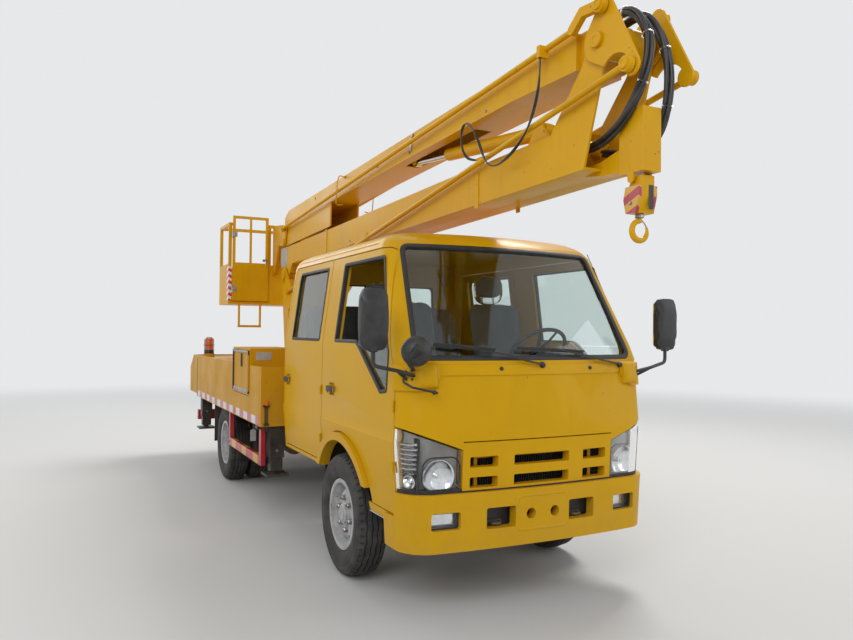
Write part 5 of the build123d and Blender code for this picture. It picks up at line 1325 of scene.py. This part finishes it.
# dashboard and steering wheel
steer = {"centre": (0.380, -0.418, 1.432), "radius": 0.200, "tilt": math.radians(45)}
axis = np.array((0, math.sin(steer["tilt"]), math.cos(steer["tilt"])))
e2 = np.array((0, math.cos(steer["tilt"]), -math.sin(steer["tilt"])))
e1 = np.array((1.0, 0, 0))
c = np.array(steer["centre"])
angle = evenAngles(64)
rimLine = c + steer["radius"] * (np.cos(angle)[:, None] * e1 + np.sin(angle)[:, None] * e2)
parts = [tube(rimLine, 0.013, 14, closed=True),
         revolve([(0.058, -0.022), (0.060, 0.000), (0.052, 0.014), (0.030, 0.020), (0, 0.021)],
                 c - axis * 0.016, axis, 32),
         revolve([(0.030, -0.34), (0.034, -0.05), (0.050, -0.02)], c, axis, 24)]
for a in (math.radians(8), math.radians(172), math.radians(250), math.radians(290)):
    way = math.cos(a) * e1 + math.sin(a) * e2
    line = [c + way * 0.045 - axis * 0.008, c + way * 0.12 - axis * 0.010, c + way * steer["radius"]]
    parts.append(sweep(line, [(-0.012, -0.005), (0.012, -0.005), (0.012, 0.005), (-0.012, 0.005)],
                       scale=[1.3, 0.9, 0.8]))
addPiece("steering_wheel", join(*parts), "root", "trimPlastic")


# across the cab at each level: front edge on the screen's foot, then over the top and down the face
def dashSurface():
    x = np.linspace(-0.735, 0.735, 48)
    hood = 0.045 * np.exp(-((x - 0.38) / 0.19) ** 2)
    rows = []
    for y, z, lift in ((-0.835, 1.215, 0), (-0.835, 1.340, 0), (-0.80, 1.378, 0.1), (-0.70, 1.392, 0.4),
                       (-0.62, 1.390, 1.0), (-0.585, 1.372, 1.0), (-0.570, 1.330, 0.5), (-0.590, 1.300, 0),
                       (-0.600, 1.235, 0), (-0.575, 1.215, 0), (-0.580, 1.190, 0), (-0.700, 1.185, 0)):
        curve = np.full_like(x, y)
        if y < -0.7:
            curve = np.maximum(cabNose(x, np.full_like(x, max(z, 1.30)), -0.060), y)
        rows.append(np.stack([x, curve, z + hood * lift], axis=1))
    return surface(np.array(rows), flip=True)


vents = []
for x in (-0.60, -0.20, 0.02, 0.66):
    vents.append(block((x - 0.055, -0.5965, 1.250), (x + 0.055, -0.578, 1.315), 0.008))
    vents += [block((x - 0.048, -0.580, z), (x + 0.048, -0.574, z + 0.004), 0.001)
              for z in np.arange(1.262, 1.31, 0.010)]
vents.append(block((-0.14, -0.598, 1.13), (0.14, -0.572, 1.235), 0.01))
vents.append(block((-0.64, -0.600, 1.215), (-0.28, -0.584, 1.240), 0.005))
closed = join(dashSurface(), block((-0.728, -0.822, 1.190), (0.728, -0.600, 1.300), 0.004))
addPiece("dash_panel", closed, "root", "dashPlastic", replaces=("dashboard",))
addPiece("dash_fittings", join(*vents), "root", "trimPlastic")
lever = bend([(0.0, -0.42, 0.900), (0.0, -0.45, 1.12), (0.02, -0.44, 1.24)], 0.05)
addPiece("gear_lever",
         join(tube(lever, 0.007, 10),
              revolve([(0.0, -0.026), (0.016, -0.022), (0.023, 0), (0.018, 0.020), (0, 0.026)],
                      (0.02, -0.44, 1.255), (0, 0.05, 1), 20),
              revolve([(0.06, 0), (0.055, 0.02), (0.022, 0.10), (0.010, 0.14)], (0.0, -0.42, 0.900),
                      (0, 0, 1), 24)), "root", "trimPlastic")
print("cabin ready")


# hoses at the elbow: each is two pieces that meet on the elbow plates
hoseSet = {"strand": 0.0121, "lay": 0.0137, "turns": 0.8, "split": 0.42, "ties": (0.10, 0.34, 0.56),
           "tie": 0.0285, "thick": 0.052, "cableSplit": 0.45, "cableStrand": 0.0044, "cableTurns": 3.0,
           "cableThick": 0.0172}
glassFinish("tieBand", (0.80, 0.82, 0.80), 0.25, 1.3, 0.4)


# a place moved along Y to the frame
def shifted(place):
    return (place[0], place[1] + axleY, place[2])


# one stretch of a cord: its mesh, with its placement baked into its points
def cordPiece(name, line, parts, nodes, bodies, start, end, thick, stiffness):
    piece = newPiece(name, join(*parts), "hoseRubber", replaces=nodes, smooth=60)
    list(bodies)
    shifted(start)
    shifted(end)
    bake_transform(piece)
    round(lengthOf(line), 4)


# the rows first to last of each strand of a bundle, closed at both ends
def stretchOf(bundle, count, size, first, last):
    parts = []
    for k in range(count):
        strand = bundle[0].reshape(count, size, strandSides, 3)[k]
        points, faces = surface(strand[first:last], closeV=True)
        parts.append((points, faces + endCaps(strandSides, last - first)))
    return parts


for word, node in (("near", "near_hose"), ("far", "far_hose")):
    line = hoseLines[node]
    cut = int(len(line) * hoseSet["split"])
    bundle = strands(line, 3, hoseSet["strand"], hoseSet["lay"], hoseSet["turns"])
    upper = stretchOf(bundle, 3, len(line), 0, cut + 1)
    lower = stretchOf(bundle, 3, len(line), cut, len(line))
    middle = line[cut]
    cordPiece(word + "_hose_upper", line[:cut + 1], upper, (node,), ("upper_boom", "elbow_links"), line[4],
              middle, hoseSet["thick"], "medium")
    cordPiece(word + "_hose_lower", line[cut:], lower, (node,), ("elbow_links", "lower_boom"), middle,
              line[-6], hoseSet["thick"], "medium")
    for k, share in enumerate(hoseSet["ties"]):
        at = int(len(line) * share)
        run = line[at + 1] - line[at - 1]
        ring = revolve([(hoseSet["tie"] - 0.002, -0.004), (hoseSet["tie"], -0.004), (hoseSet["tie"], 0.004),
                        (hoseSet["tie"] - 0.002, 0.004)], line[at], run, 28)
        tie = newPiece("%s_hose_tie_%d" % (word, k), ring, "tieBand")
        pair = ("upper_boom", "elbow_links") if at < cut else ("elbow_links", "lower_boom")
        ends = (line[4], middle) if at < cut else (middle, line[-6])
        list(pair)
        shifted(ends[0])
        shifted(ends[1])
        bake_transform(tie)

# side cable: two thin cables side by side, held by the near upper tie rod and by a lug on the lower boom
line = hoseLines["side_cable"]
cut = int(len(line) * hoseSet["cableSplit"])
twin = strands(line, 2, hoseSet["cableStrand"], hoseSet["cableStrand"], hoseSet["cableTurns"])
for word, first, last, pair, ends in (
        ("side_cable_front", 0, cut + 1, ("upper_tie_rods", "elbow_links"), (line[0], line[cut])),
        ("side_cable_rear", cut, len(line), ("elbow_links", "lower_boom"), (line[cut], line[-1]))):
    parts = stretchOf(twin, 2, len(line), first, last)
    cordPiece(word, line[first:last], parts, ("side_cable",), pair, *ends, hoseSet["cableThick"], "limp")
print("hoses ready")


# small fittings: joined per body and finish, so each list becomes one piece
fittings = {}


# collects parts by name, body and finish
def fit(name, body, finish, *parts):
    fittings.setdefault((name, body, finish), []).extend(parts)


# nose: mirror feet on the cab's corners, the round mirror and its stay, the bumper's bead, black sheets
# behind the bumper's openings as painted shade, tow eyes
nose = {"footX": (0.632, 0.762), "footZ": (1.248, 1.384), "proud": 0.050, "bowl": (-0.800, -1.040, 1.452),
        "bowlRadius": 0.080, "bowlFace": (0.35, 0.93, -0.10), "panelHalf": 0.166, "panelZ": (0.462, 0.650)}


# a pillow on the cab's corner: its height over the paint is proud times (1 - u^4)(1 - v^4) to the power 0.4
def mirrorFoot(side, s):
    u, v = np.meshgrid(np.linspace(-1, 1, 25), np.linspace(-1, 1, 25), indexing="ij")
    x = (s["footX"][0] + s["footX"][1]) / 2 + u * (s["footX"][1] - s["footX"][0]) / 2
    z = (s["footZ"][0] + s["footZ"][1]) / 2 + v * (s["footZ"][1] - s["footZ"][0]) / 2
    out = s["proud"] * (np.maximum(1 - u ** 4, 0) * np.maximum(1 - v ** 4, 0)) ** 0.4 - 0.004
    return surface(np.stack([side * x, cabNose(x, z, out), z], axis=2), flip=side < 0)


fit("mirror_feet", "root", "cabYellow", mirrorFoot(1, nose), mirrorFoot(-1, nose))
bowl = np.array(nose["bowl"])
face = np.array(nose["bowlFace"]) / np.linalg.norm(nose["bowlFace"])
r = nose["bowlRadius"]
cup = [(r * math.sin(t), -0.062 * math.cos(t)) for t in np.linspace(0, math.pi / 2, 12)]
fit("round_mirror", "root", "trimPlastic",
    revolve(cup + [(r, 0.012), (r - 0.004, 0.015), (r - 0.007, 0.011), (0, 0.011)], bowl, face, 40),
    tube(bend([bowl - face * 0.05, (-0.835, -1.005, 1.400), (-0.770, -0.945, 1.352)], 0.03), 0.011, 10),
    revolve([(0, -0.02), (0.028, -0.018), (0.022, 0.03), (0.012, 0.05), (0, 0.052)], bowl - face * 0.066,
            (-0.45, 0.55, -0.7), 20),
    tube(bend([(-0.805, -0.925, 1.345), (-0.838, -0.955, 1.290), (-0.800, -1.000, 1.262),
               (-0.668, -1.030, 1.232), (-0.650, -0.985, 1.228)], 0.025), 0.0065, 10),
    bolt((-0.652, float(cabNose(0.652, 1.228)), 1.228), (0, -1, 0), 0.010, 0.008))
dome = [(0.071 * math.sin(t), 0.008 * math.cos(t)) for t in np.linspace(math.pi / 2, 0, 8)]
fit("round_mirror_glass", "root", "mirrorSilver", revolve(dome, bowl + face * 0.009, face, 40))
low, high = nose["panelZ"]
half = nose["panelHalf"]
x, z = roundedLoop([(-half, low), (half, low), (half, high), (-half, high)], 0.02, 0.02).T
path = np.stack([x, cabNose(x, z, 0.020), z], axis=1)
fit("bumper_bead", "root", "cabYellow",
    ribbon(path, noseNormal(x, z), [(-0.009, -0.001), (-0.004, 0.003), (0.004, 0.003), (0.009, -0.001)]))
# black sheets behind the bumper's openings: painted shade, standing in for the dark inside them
fit("bumper_tray", "root", "trimPlastic", block((-0.40, -0.950, 0.440), (0.40, -0.944, 0.645)),
    *(block((side * 0.6 - 0.10, -0.935, 0.48), (side * 0.6 + 0.10, -0.930, 0.61)) for side in (1, -1)))
for side in (1, -1):
    eye = bend([(side * 0.245, -0.952, 0.50), (side * 0.245, -0.990, 0.50), (side * 0.300, -0.990, 0.50),
                (side * 0.300, -0.952, 0.50)], 0.024)
    fit("tow_eyes", "root", "castIron", tube(eye, 0.009, 10), block((side * 0.272 - 0.05, -0.958, 0.488),
                                                                     (side * 0.272 + 0.05, -0.949, 0.515)))


# pins: a cap with a chamfered rim over each pin's end, a keeper plate and its two bolts
pins = (
    # name, body, (y, z), x of the cap, radius, the keeper's direction in degrees
    ("turret", (3.800, 2.180), 0.184, 0.052, -60), ("turret", (3.150, 1.500), 0.182, 0.040, 90),
    ("elbow_links", (-1.695, 2.955), 0.184, 0.038, None), ("basket", (3.850, 2.572), 0.174, 0.036, -40),
    ("elbow_links", (-1.743, 3.100), 0.2165, 0.026, None),
    ("elbow_links", (-1.927, 2.762), 0.2165, 0.026, None),
)


# a turned cap, and a keeper plate with two bolts turned to the keeper's direction
def pinCap(place, x, radius, keeper):
    y, z = place
    parts = [revolve([(radius, -0.010), (radius, 0.002), (radius * 0.9, 0.006), (radius * 0.55, 0.006),
                      (radius * 0.5, 0.003), (0, 0.003)], (x, y, z), (1, 0, 0), 32)]
    if keeper is not None:
        a = math.radians(keeper)
        c, n = math.cos(a), math.sin(a)
        for t in (-1, 1):
            spot = (x - 0.004, y + c * radius * 1.15 - t * n * radius * 0.7,
                    z + n * radius * 1.15 + t * c * radius * 0.7)
            parts.append(bolt(spot, (1, 0, 0), 0.010, 0.008))
        arm = np.array([(-0.95, 0.85), (0.95, 0.85), (0.95, 1.4), (-0.95, 1.4)]) * radius
        outline = np.stack([y + c * arm[:, 1] - n * arm[:, 0], z + n * arm[:, 1] + c * arm[:, 0]], axis=1)
        parts.append(plate(outline, 0, x - 0.010, x - 0.004))
    return join(*parts)


for body, place, x, radius, keeper in pins:
    fit("pin_caps_" + body, body, "boomYellow", both(pinCap(place, x, radius, keeper)))


# hook: a block between two banded cheeks, a thin black sheet on its front as the painted shade of a slot, a
# swivel and an open hook
hookSet = {"pin": (-1.800, 2.282), "inner": 0.038, "outer": 0.056, "ring": (-1.800, 2.040), "eye": 0.046,
           "wire": 0.015,
           "core": ((-0.056, 0.012), (0.008, 0.012), (0.038, -0.045), (0.050, -0.095), (0.034, -0.162),
                    (-0.034, -0.162), (-0.056, -0.080)),
           "cheek": ((-0.056, -0.036), (0.036, -0.036), (0.050, -0.095), (0.034, -0.162), (-0.034, -0.162),
                     (-0.056, -0.080))}
pinY, pinZ = hookSet["pin"]
core = [(pinY + a, pinZ + b) for a, b in hookSet["core"]]
cheek = [(pinY + a, pinZ + b) for a, b in hookSet["cheek"]]
fit("hook_block", "hook", "boomYellow", plate(core, 0, -hookSet["inner"], hookSet["inner"]))
fit("hook_bands", "hook", "hookBands", both(plate(cheek, 0, hookSet["inner"], hookSet["outer"])))
# a thin black sheet on the block's front: painted shade where a slot would be
fit("hook_slot", "hook", "trimPlastic",
    block((0.004, pinY - 0.0575, 2.136), (0.034, pinY - 0.055, 2.250), 0.001))
eyeY, eyeZ = hookSet["ring"]
turn = np.radians(np.linspace(90, 385, 40))
bow = np.stack([hookSet["eye"] * np.cos(turn), eyeY + 0 * turn, eyeZ + hookSet["eye"] * np.sin(turn)], axis=1)
grow = np.interp(np.linspace(0, 1, 40), (0, 0.08, 0.5, 0.8, 1.0), (0.80, 0.85, 1.0, 0.8, 0.35))
fit("hook_bow", "hook", "boomYellow", sweep(bow, circle(hookSet["wire"], 16), scale=grow),
    revolve([(0.011, 0), (0.011, 0.060), (0, 0.060)], (0, eyeY, eyeZ + hookSet["eye"] - 0.008), (0, 0, 1),
            16))
fit("hook_latch", "hook", "boltSteel",
    revolve([(0.019, 0), (0.023, 0.004), (0.023, 0.016), (0.019, 0.020), (0, 0.020)], (0, eyeY, 2.100),
            (0, 0, 1), 6), both(bolt((hookSet["outer"], pinY, pinZ - 0.115), (1, 0, 0), 0.008, 0.005)),
    tube([(0.014, eyeY, eyeZ + 0.050), (0.030, eyeY, eyeZ + 0.038), (0.042, eyeY, eyeZ + 0.020)], 0.003, 8))


# booms: guide loops for the levelling rods, a strap, blank plates, elbow bosses, stiffeners
boomSet = {"loops": ((-1, 1.92, 2.955, 2.702), (1, 2.135, 2.945, 2.690)),  # side, y, top, foot
           "label": (3.760, 4.010, 2.290, 2.505), "slew": (3.450, 0.325, 1.3005), "slewBolts": 24}


# a bent wire from the boom's side round the levelling rod, bolted at its top
def guideLoop(side, y, top, foot):
    half = 0.055
    path = bend([(side * 0.148, y - half, top), (side * 0.205, y - half, top + 0.01),
                 (side * 0.222, y - half, top - 0.05), (side * 0.222, y - half * 0.4, foot + 0.02),
                 (side * 0.205, y, foot), (side * 0.150, y, foot + 0.01)], 0.02)
    return join(tube(path, 0.005, 8), bolt((side * 0.149, y - half, top), (side, 0, 0), 0.012, 0.007))


fit("rod_guides", "upper_boom", "boomYellow", *(guideLoop(*row) for row in boomSet["loops"]))
fit("boom_fittings", "upper_boom", "boltSteel", bolt((-0.1465, 0.424, 2.995), (-1, 0, 0), 0.014, 0.010),
    bolt((-0.1465, 0.482, 2.885), (-1, 0, 0), 0.010, 0.008),
    block((-0.151, 0.440, 2.884), (-0.1465, 0.466, 2.992), 0.001),
    *(bolt((side * 0.1465, y, 2.900), (side, 0, 0), 0.008, 0.006) for side in (1, -1)
      for y in (-0.62, 1.10, 2.75)))
fit("elbow_boss", "upper_boom", "trimPlastic",
    both(revolve([(0.030, 0), (0.030, 0.008), (0.024, 0.011), (0, 0.011)], (0.1180, -1.620, 2.912), (1, 0, 0),
                 28)))
fit("lower_boom_boxes", "lower_boom", "boomYellow",
    block((-0.158, 1.300, 2.318), (-0.149, 1.720, 2.386), 0.003),
    *(block((side * 0.153 - 0.003, y, 2.318), (side * 0.153 + 0.003, y + 0.045, 2.54), 0.002)
      for side in (1, -1) for y in (-0.55, 2.35)))
a, b, low, high = boomSet["label"]
fit("boom_plates", "lower_boom", "palePlastic", block((-0.152, a, low), (-0.1495, b, high), 0.001),
    block((0.1495, a, low), (0.152, b, high), 0.001))
fit("boom_bolts", "lower_boom", "boltSteel",
    *(bolt((-0.158, y, 2.352), (-1, 0, 0), 0.008, 0.006) for y in (1.33, 1.69)),
    *(bolt((side * 0.1515, y, z), (side, 0, 0), 0.006, 0.005)
      for side in (1, -1) for y in (a + 0.02, b - 0.02) for z in (low + 0.02, high - 0.02)))
stubs = [tube([(x, -1.395, 2.470), (x, -1.470, 2.475), (x, -1.508, 2.520)], 0.013, 10) for x in (-0.05, 0.05)]
fit("hose_stubs", "lower_boom", "boomYellow", *stubs)

# slewing ring: bolts round its flange
y, r, z = boomSet["slew"]
fit("slew_bolts", "turret", "boltSteel",
    *(bolt((r * math.cos(t), y + r * math.sin(t), z), (0, 0, 1), 0.012, 0.012)
      for t in evenAngles(boomSet["slewBolts"])))
print("boom fittings ready")


# basket: gate hinges and latch, corner bands, tread bars, the control box and its levers
basketSet = {"band": (1.905, 2.300), "hinges": (2.040, 2.680), "levers": (0.16, 0.22, 0.28, 0.34)}
for z in basketSet["hinges"]:
    fit("gate_hinges", "basket_gate", "boltSteel", revolve([(0.011, -0.045), (0.011, 0.045), (0, 0.045)],
                                                           (-0.654, 4.292, z), (0, 0, 1), 16),
        block((-0.655, 4.2905, z - 0.030), (-0.600, 4.2945, z + 0.030), 0.001),
        bolt((-0.620, 4.2905, z), (0, -1, 0), 0.006, 0.005))
fit("gate_latch", "basket_gate", "boltSteel", block((-0.300, 4.284, 2.370), (-0.238, 4.294, 2.400), 0.002),
    tube(bend([(-0.270, 4.286, 2.385), (-0.270, 4.262, 2.385), (-0.270, 4.262, 2.330)], 0.012), 0.006, 8))
low, high = basketSet["band"]
fit("basket_bands", "basket", "warningBands", block((-0.692, 4.318, low), (-0.656, 4.3295, high), 0.001),
    block((-0.6935, 4.330, low), (-0.6905, 4.420, high), 0.001),
    block((0.6905, 4.330, low), (0.6935, 4.420, high), 0.001),
    block((0.600, 4.3265, low), (0.692, 4.3295, high), 0.001))
fit("basket_treads", "basket", "castIron",
    *(block((x - 0.006, 4.350, 1.8905), (x + 0.006, 4.860, 1.894), 0.001)
      for x in np.arange(-0.66, 0.665, 0.03)))
fit("basket_box", "basket", "palePlastic", block((0.10, 4.385, 2.380), (0.42, 4.500, 2.560), 0.012),
    block((0.12, 4.372, 2.400), (0.40, 4.386, 2.540), 0.004))
fit("basket_levers", "basket", "trimPlastic",
    *(tube([(x, 4.440, 2.555), (x, 4.435, 2.625)], 0.005, 8) for x in basketSet["levers"]),
    *(roundedHead((x, 4.435, 2.635), (0.011, 0.011, 0.016), 2.2, (12, 8)) for x in basketSet["levers"]),
    block((0.12, 4.364, 2.300), (0.15, 4.384, 2.41), 0.003),
    block((0.37, 4.364, 2.300), (0.40, 4.384, 2.41), 0.003))
print("basket fittings ready")


# deck: banded tape and a seam on the skirts, rear lamps, tread pattern
deckSet = {"tape": ((1.56, 2.46), (2.52, 3.42), (3.48, 4.56)), "tapeZ": (0.772, 0.838), "skin": 0.9805,
           "seam": (4.632, 0.79, 1.215), "tread": (0.480, 0.920, 2.260, 4.240), "treadTop": 1.2380}
for side in (1, -1):
    x0, x1 = sorted((side * (deckSet["skin"] - 0.001), side * (deckSet["skin"] + 0.0015)))
    fit("skirt_tape", "root", "tapeBands",
        *(block((x0, a, deckSet["tapeZ"][0]), (x1, b, deckSet["tapeZ"][1]), 0.0005)
          for a, b in deckSet["tape"]))
    y, low, high = deckSet["seam"]
    fit("skirt_seams", "root", "sealRubber", block((x0, y - 0.006, low), (x1, y + 0.006, high), 0.0005))
    # rear lamp group: red, orange and white lenses in a black box under the tail
    fit("rear_lamp_boxes", "root", "trimPlastic",
        block((side * 0.72 - 0.17, 5.126, 0.838), (side * 0.72 + 0.17, 5.143, 0.962), 0.006))
    for k, finish in enumerate(("redPlastic", "orangePlastic", "lampGlass")):
        x = side * (0.82 - 0.10 * k)
        fit("rear_lenses_" + finish, "root", finish,
            roundedHead((x, 5.143, 0.900), (0.044, 0.010, 0.050), 6, (28, 12)))
a, b, c, d = deckSet["tread"]
lugs = []
for row, y in enumerate(np.arange(c, d, 0.044)):
    for x in np.arange(a + (0.022 if row % 2 else 0), b, 0.044):
        t = 1 if (row + int(round(x / 0.022))) % 2 else -1
        u, v = np.array((0.7071, 0.7071 * t, 0)) * 0.013, np.array((-0.7071 * t, 0.7071, 0)) * 0.0028
        base = np.array((x, y, deckSet["treadTop"]))
        lift = np.array((0, 0, 0.0018))
        lugs.append((np.array([base - u - v, base + u - v, base + u + v, base - u + v, base - u * 0.8 + lift,
                               base + u * 0.8 + lift]),
                     [[0, 1, 5, 4], [1, 2, 5], [2, 3, 4, 5], [3, 0, 4]]))
fit("tread_lugs", "root", "deckYellow", *lugs)

# cabinet: rubber seals beside its door, a strap and bright strips on the door, the blank plate in front
cabinetSet = {"face": -0.9855, "plate": (-0.928, -0.792, 1.291, 1.363)}
x = cabinetSet["face"]
fit("cabinet_seals", "cabinet_lid", "sealRubber",
    block((x - 0.007, 1.930, 1.000), (x + 0.006, 1.948, 1.375), 0.003),
    block((x - 0.007, 2.552, 1.000), (x + 0.006, 2.570, 1.375), 0.003),
    block((x - 0.004, 2.205, 1.228), (x + 0.004, 2.242, 1.345), 0.002))
fit("cabinet_strips", "cabinet_lid", "boltSteel",
    block((x - 0.004, 1.950, 1.352), (x + 0.004, 2.550, 1.372), 0.002),
    block((x - 0.003, 1.955, 1.000), (x + 0.004, 2.545, 1.032), 0.002))
a, b, low, high = cabinetSet["plate"]
fit("cabinet_plate", "root", "plateSilver", block((a, 1.9115, low), (b, 1.9155, high), 0.001),
    *(bolt((px, 1.9118, pz), (0, -1, 0), 0.004, 0.003) for px in (a + 0.01, b - 0.01)
      for pz in (low + 0.01, high - 0.01)))
fit("cabinet_levers", "root", "trimPlastic",
    *(roundedHead((-0.945, y, 1.205), (0.012, 0.012, 0.018), 2.2, (12, 8))
      for y in np.arange(2.02, 2.52, 0.08)))

# in front of the deck: the marker lamp on its two pipes, a junction box, a blank tag on a wire
fit("marker_lamp", "root", "orangePlastic",
    roundedHead((-0.936, 1.496, 0.955), (0.017, 0.012, 0.022), 4, (24, 12)))
fit("marker_pipes", "root", "trimPlastic", tube([(-0.929, 1.500, 0.940), (-0.929, 1.500, 0.786)], 0.005, 8),
    tube([(-0.945, 1.500, 0.940), (-0.945, 1.500, 0.786)], 0.005, 8),
    block((-0.962, 1.486, 0.925), (-0.910, 1.509, 0.943), 0.003),
    block((-0.958, 1.488, 0.776), (-0.916, 1.511, 0.795), 0.003),
    block((-0.995, 1.560, 0.738), (-0.955, 1.640, 0.764), 0.004))
fit("hanging_tag", "root", "palePlastic",
    plate([(-0.975, 0.600), (-0.925, 0.600), (-0.925, 0.690), (-0.950, 0.705), (-0.975, 0.690)], 1, 1.884,
          1.886))
fit("tag_wire", "root", "boltSteel",
    tube([(-0.950, 1.885, 0.698), (-0.950, 1.882, 0.735), (-0.952, 1.885, 0.768)], 0.0015, 6))

# jacks: hose elbows on the housings; guards: bolt heads on the posts
for side in (1, -1):
    for y in (1.602, 4.850):
        fit("jack_elbows", "root", "boltSteel",
            bolt((side * 0.830, y - 0.062, 1.120), (0, -1, 0), 0.014, 0.014),
            bolt((side * 0.830, y - 0.062, 0.560), (0, -1, 0), 0.010, 0.008))
    fit("guard_bolts", "root", "boltSteel", *(bolt((side * 0.9455, y, z), (side, 0, 0), 0.009, 0.007)
                                              for y in (1.665, 2.895) for z in (0.462, 0.80)))

# headrests on two posts, each with its film
headrests = (((0.320, 0.530), 0.285, 1.810, 1.970), ((-0.560, -0.360), 0.285, 1.800, 1.885))
for (x0, x1), y, low, high in headrests:
    middle = (x0 + x1) / 2
    rest = roundedHead((middle, y, (low + high) / 2), ((x1 - x0) / 2, 0.048, (high - low) / 2), 3.2, (40, 22))
    fit("headrests", "root", "seatFabric", rest)
    fit("headrest_posts", "root", "boltSteel",
        *(tube([(middle + d, y, 1.74), (middle + d, y, low + 0.03)], 0.006, 10) for d in (-0.05, 0.05)))
    film = roundedHead((middle, y, (low + high) / 2 - 0.02),
                       ((x1 - x0) / 2 + 0.010, 0.056, (high - low) / 2 + 0.032), 2.8, (64, 32))
    wave = 0.004 * np.sin(film[0][:, 0] * 90 + 5 * np.sin(film[0][:, 2] * 30)) * np.cos(film[0][:, 2] * 70)
    fit("headrest_film", "root", "clearFilm", (film[0] + wave[:, None] * (1, 0.6, 0), film[1]))

for (name, body, finish), parts in fittings.items():
    addPiece(name, join(*parts), body, finish, replaces=("hook",) if name == "hook_block" else ())
print("deck and cab fittings ready")
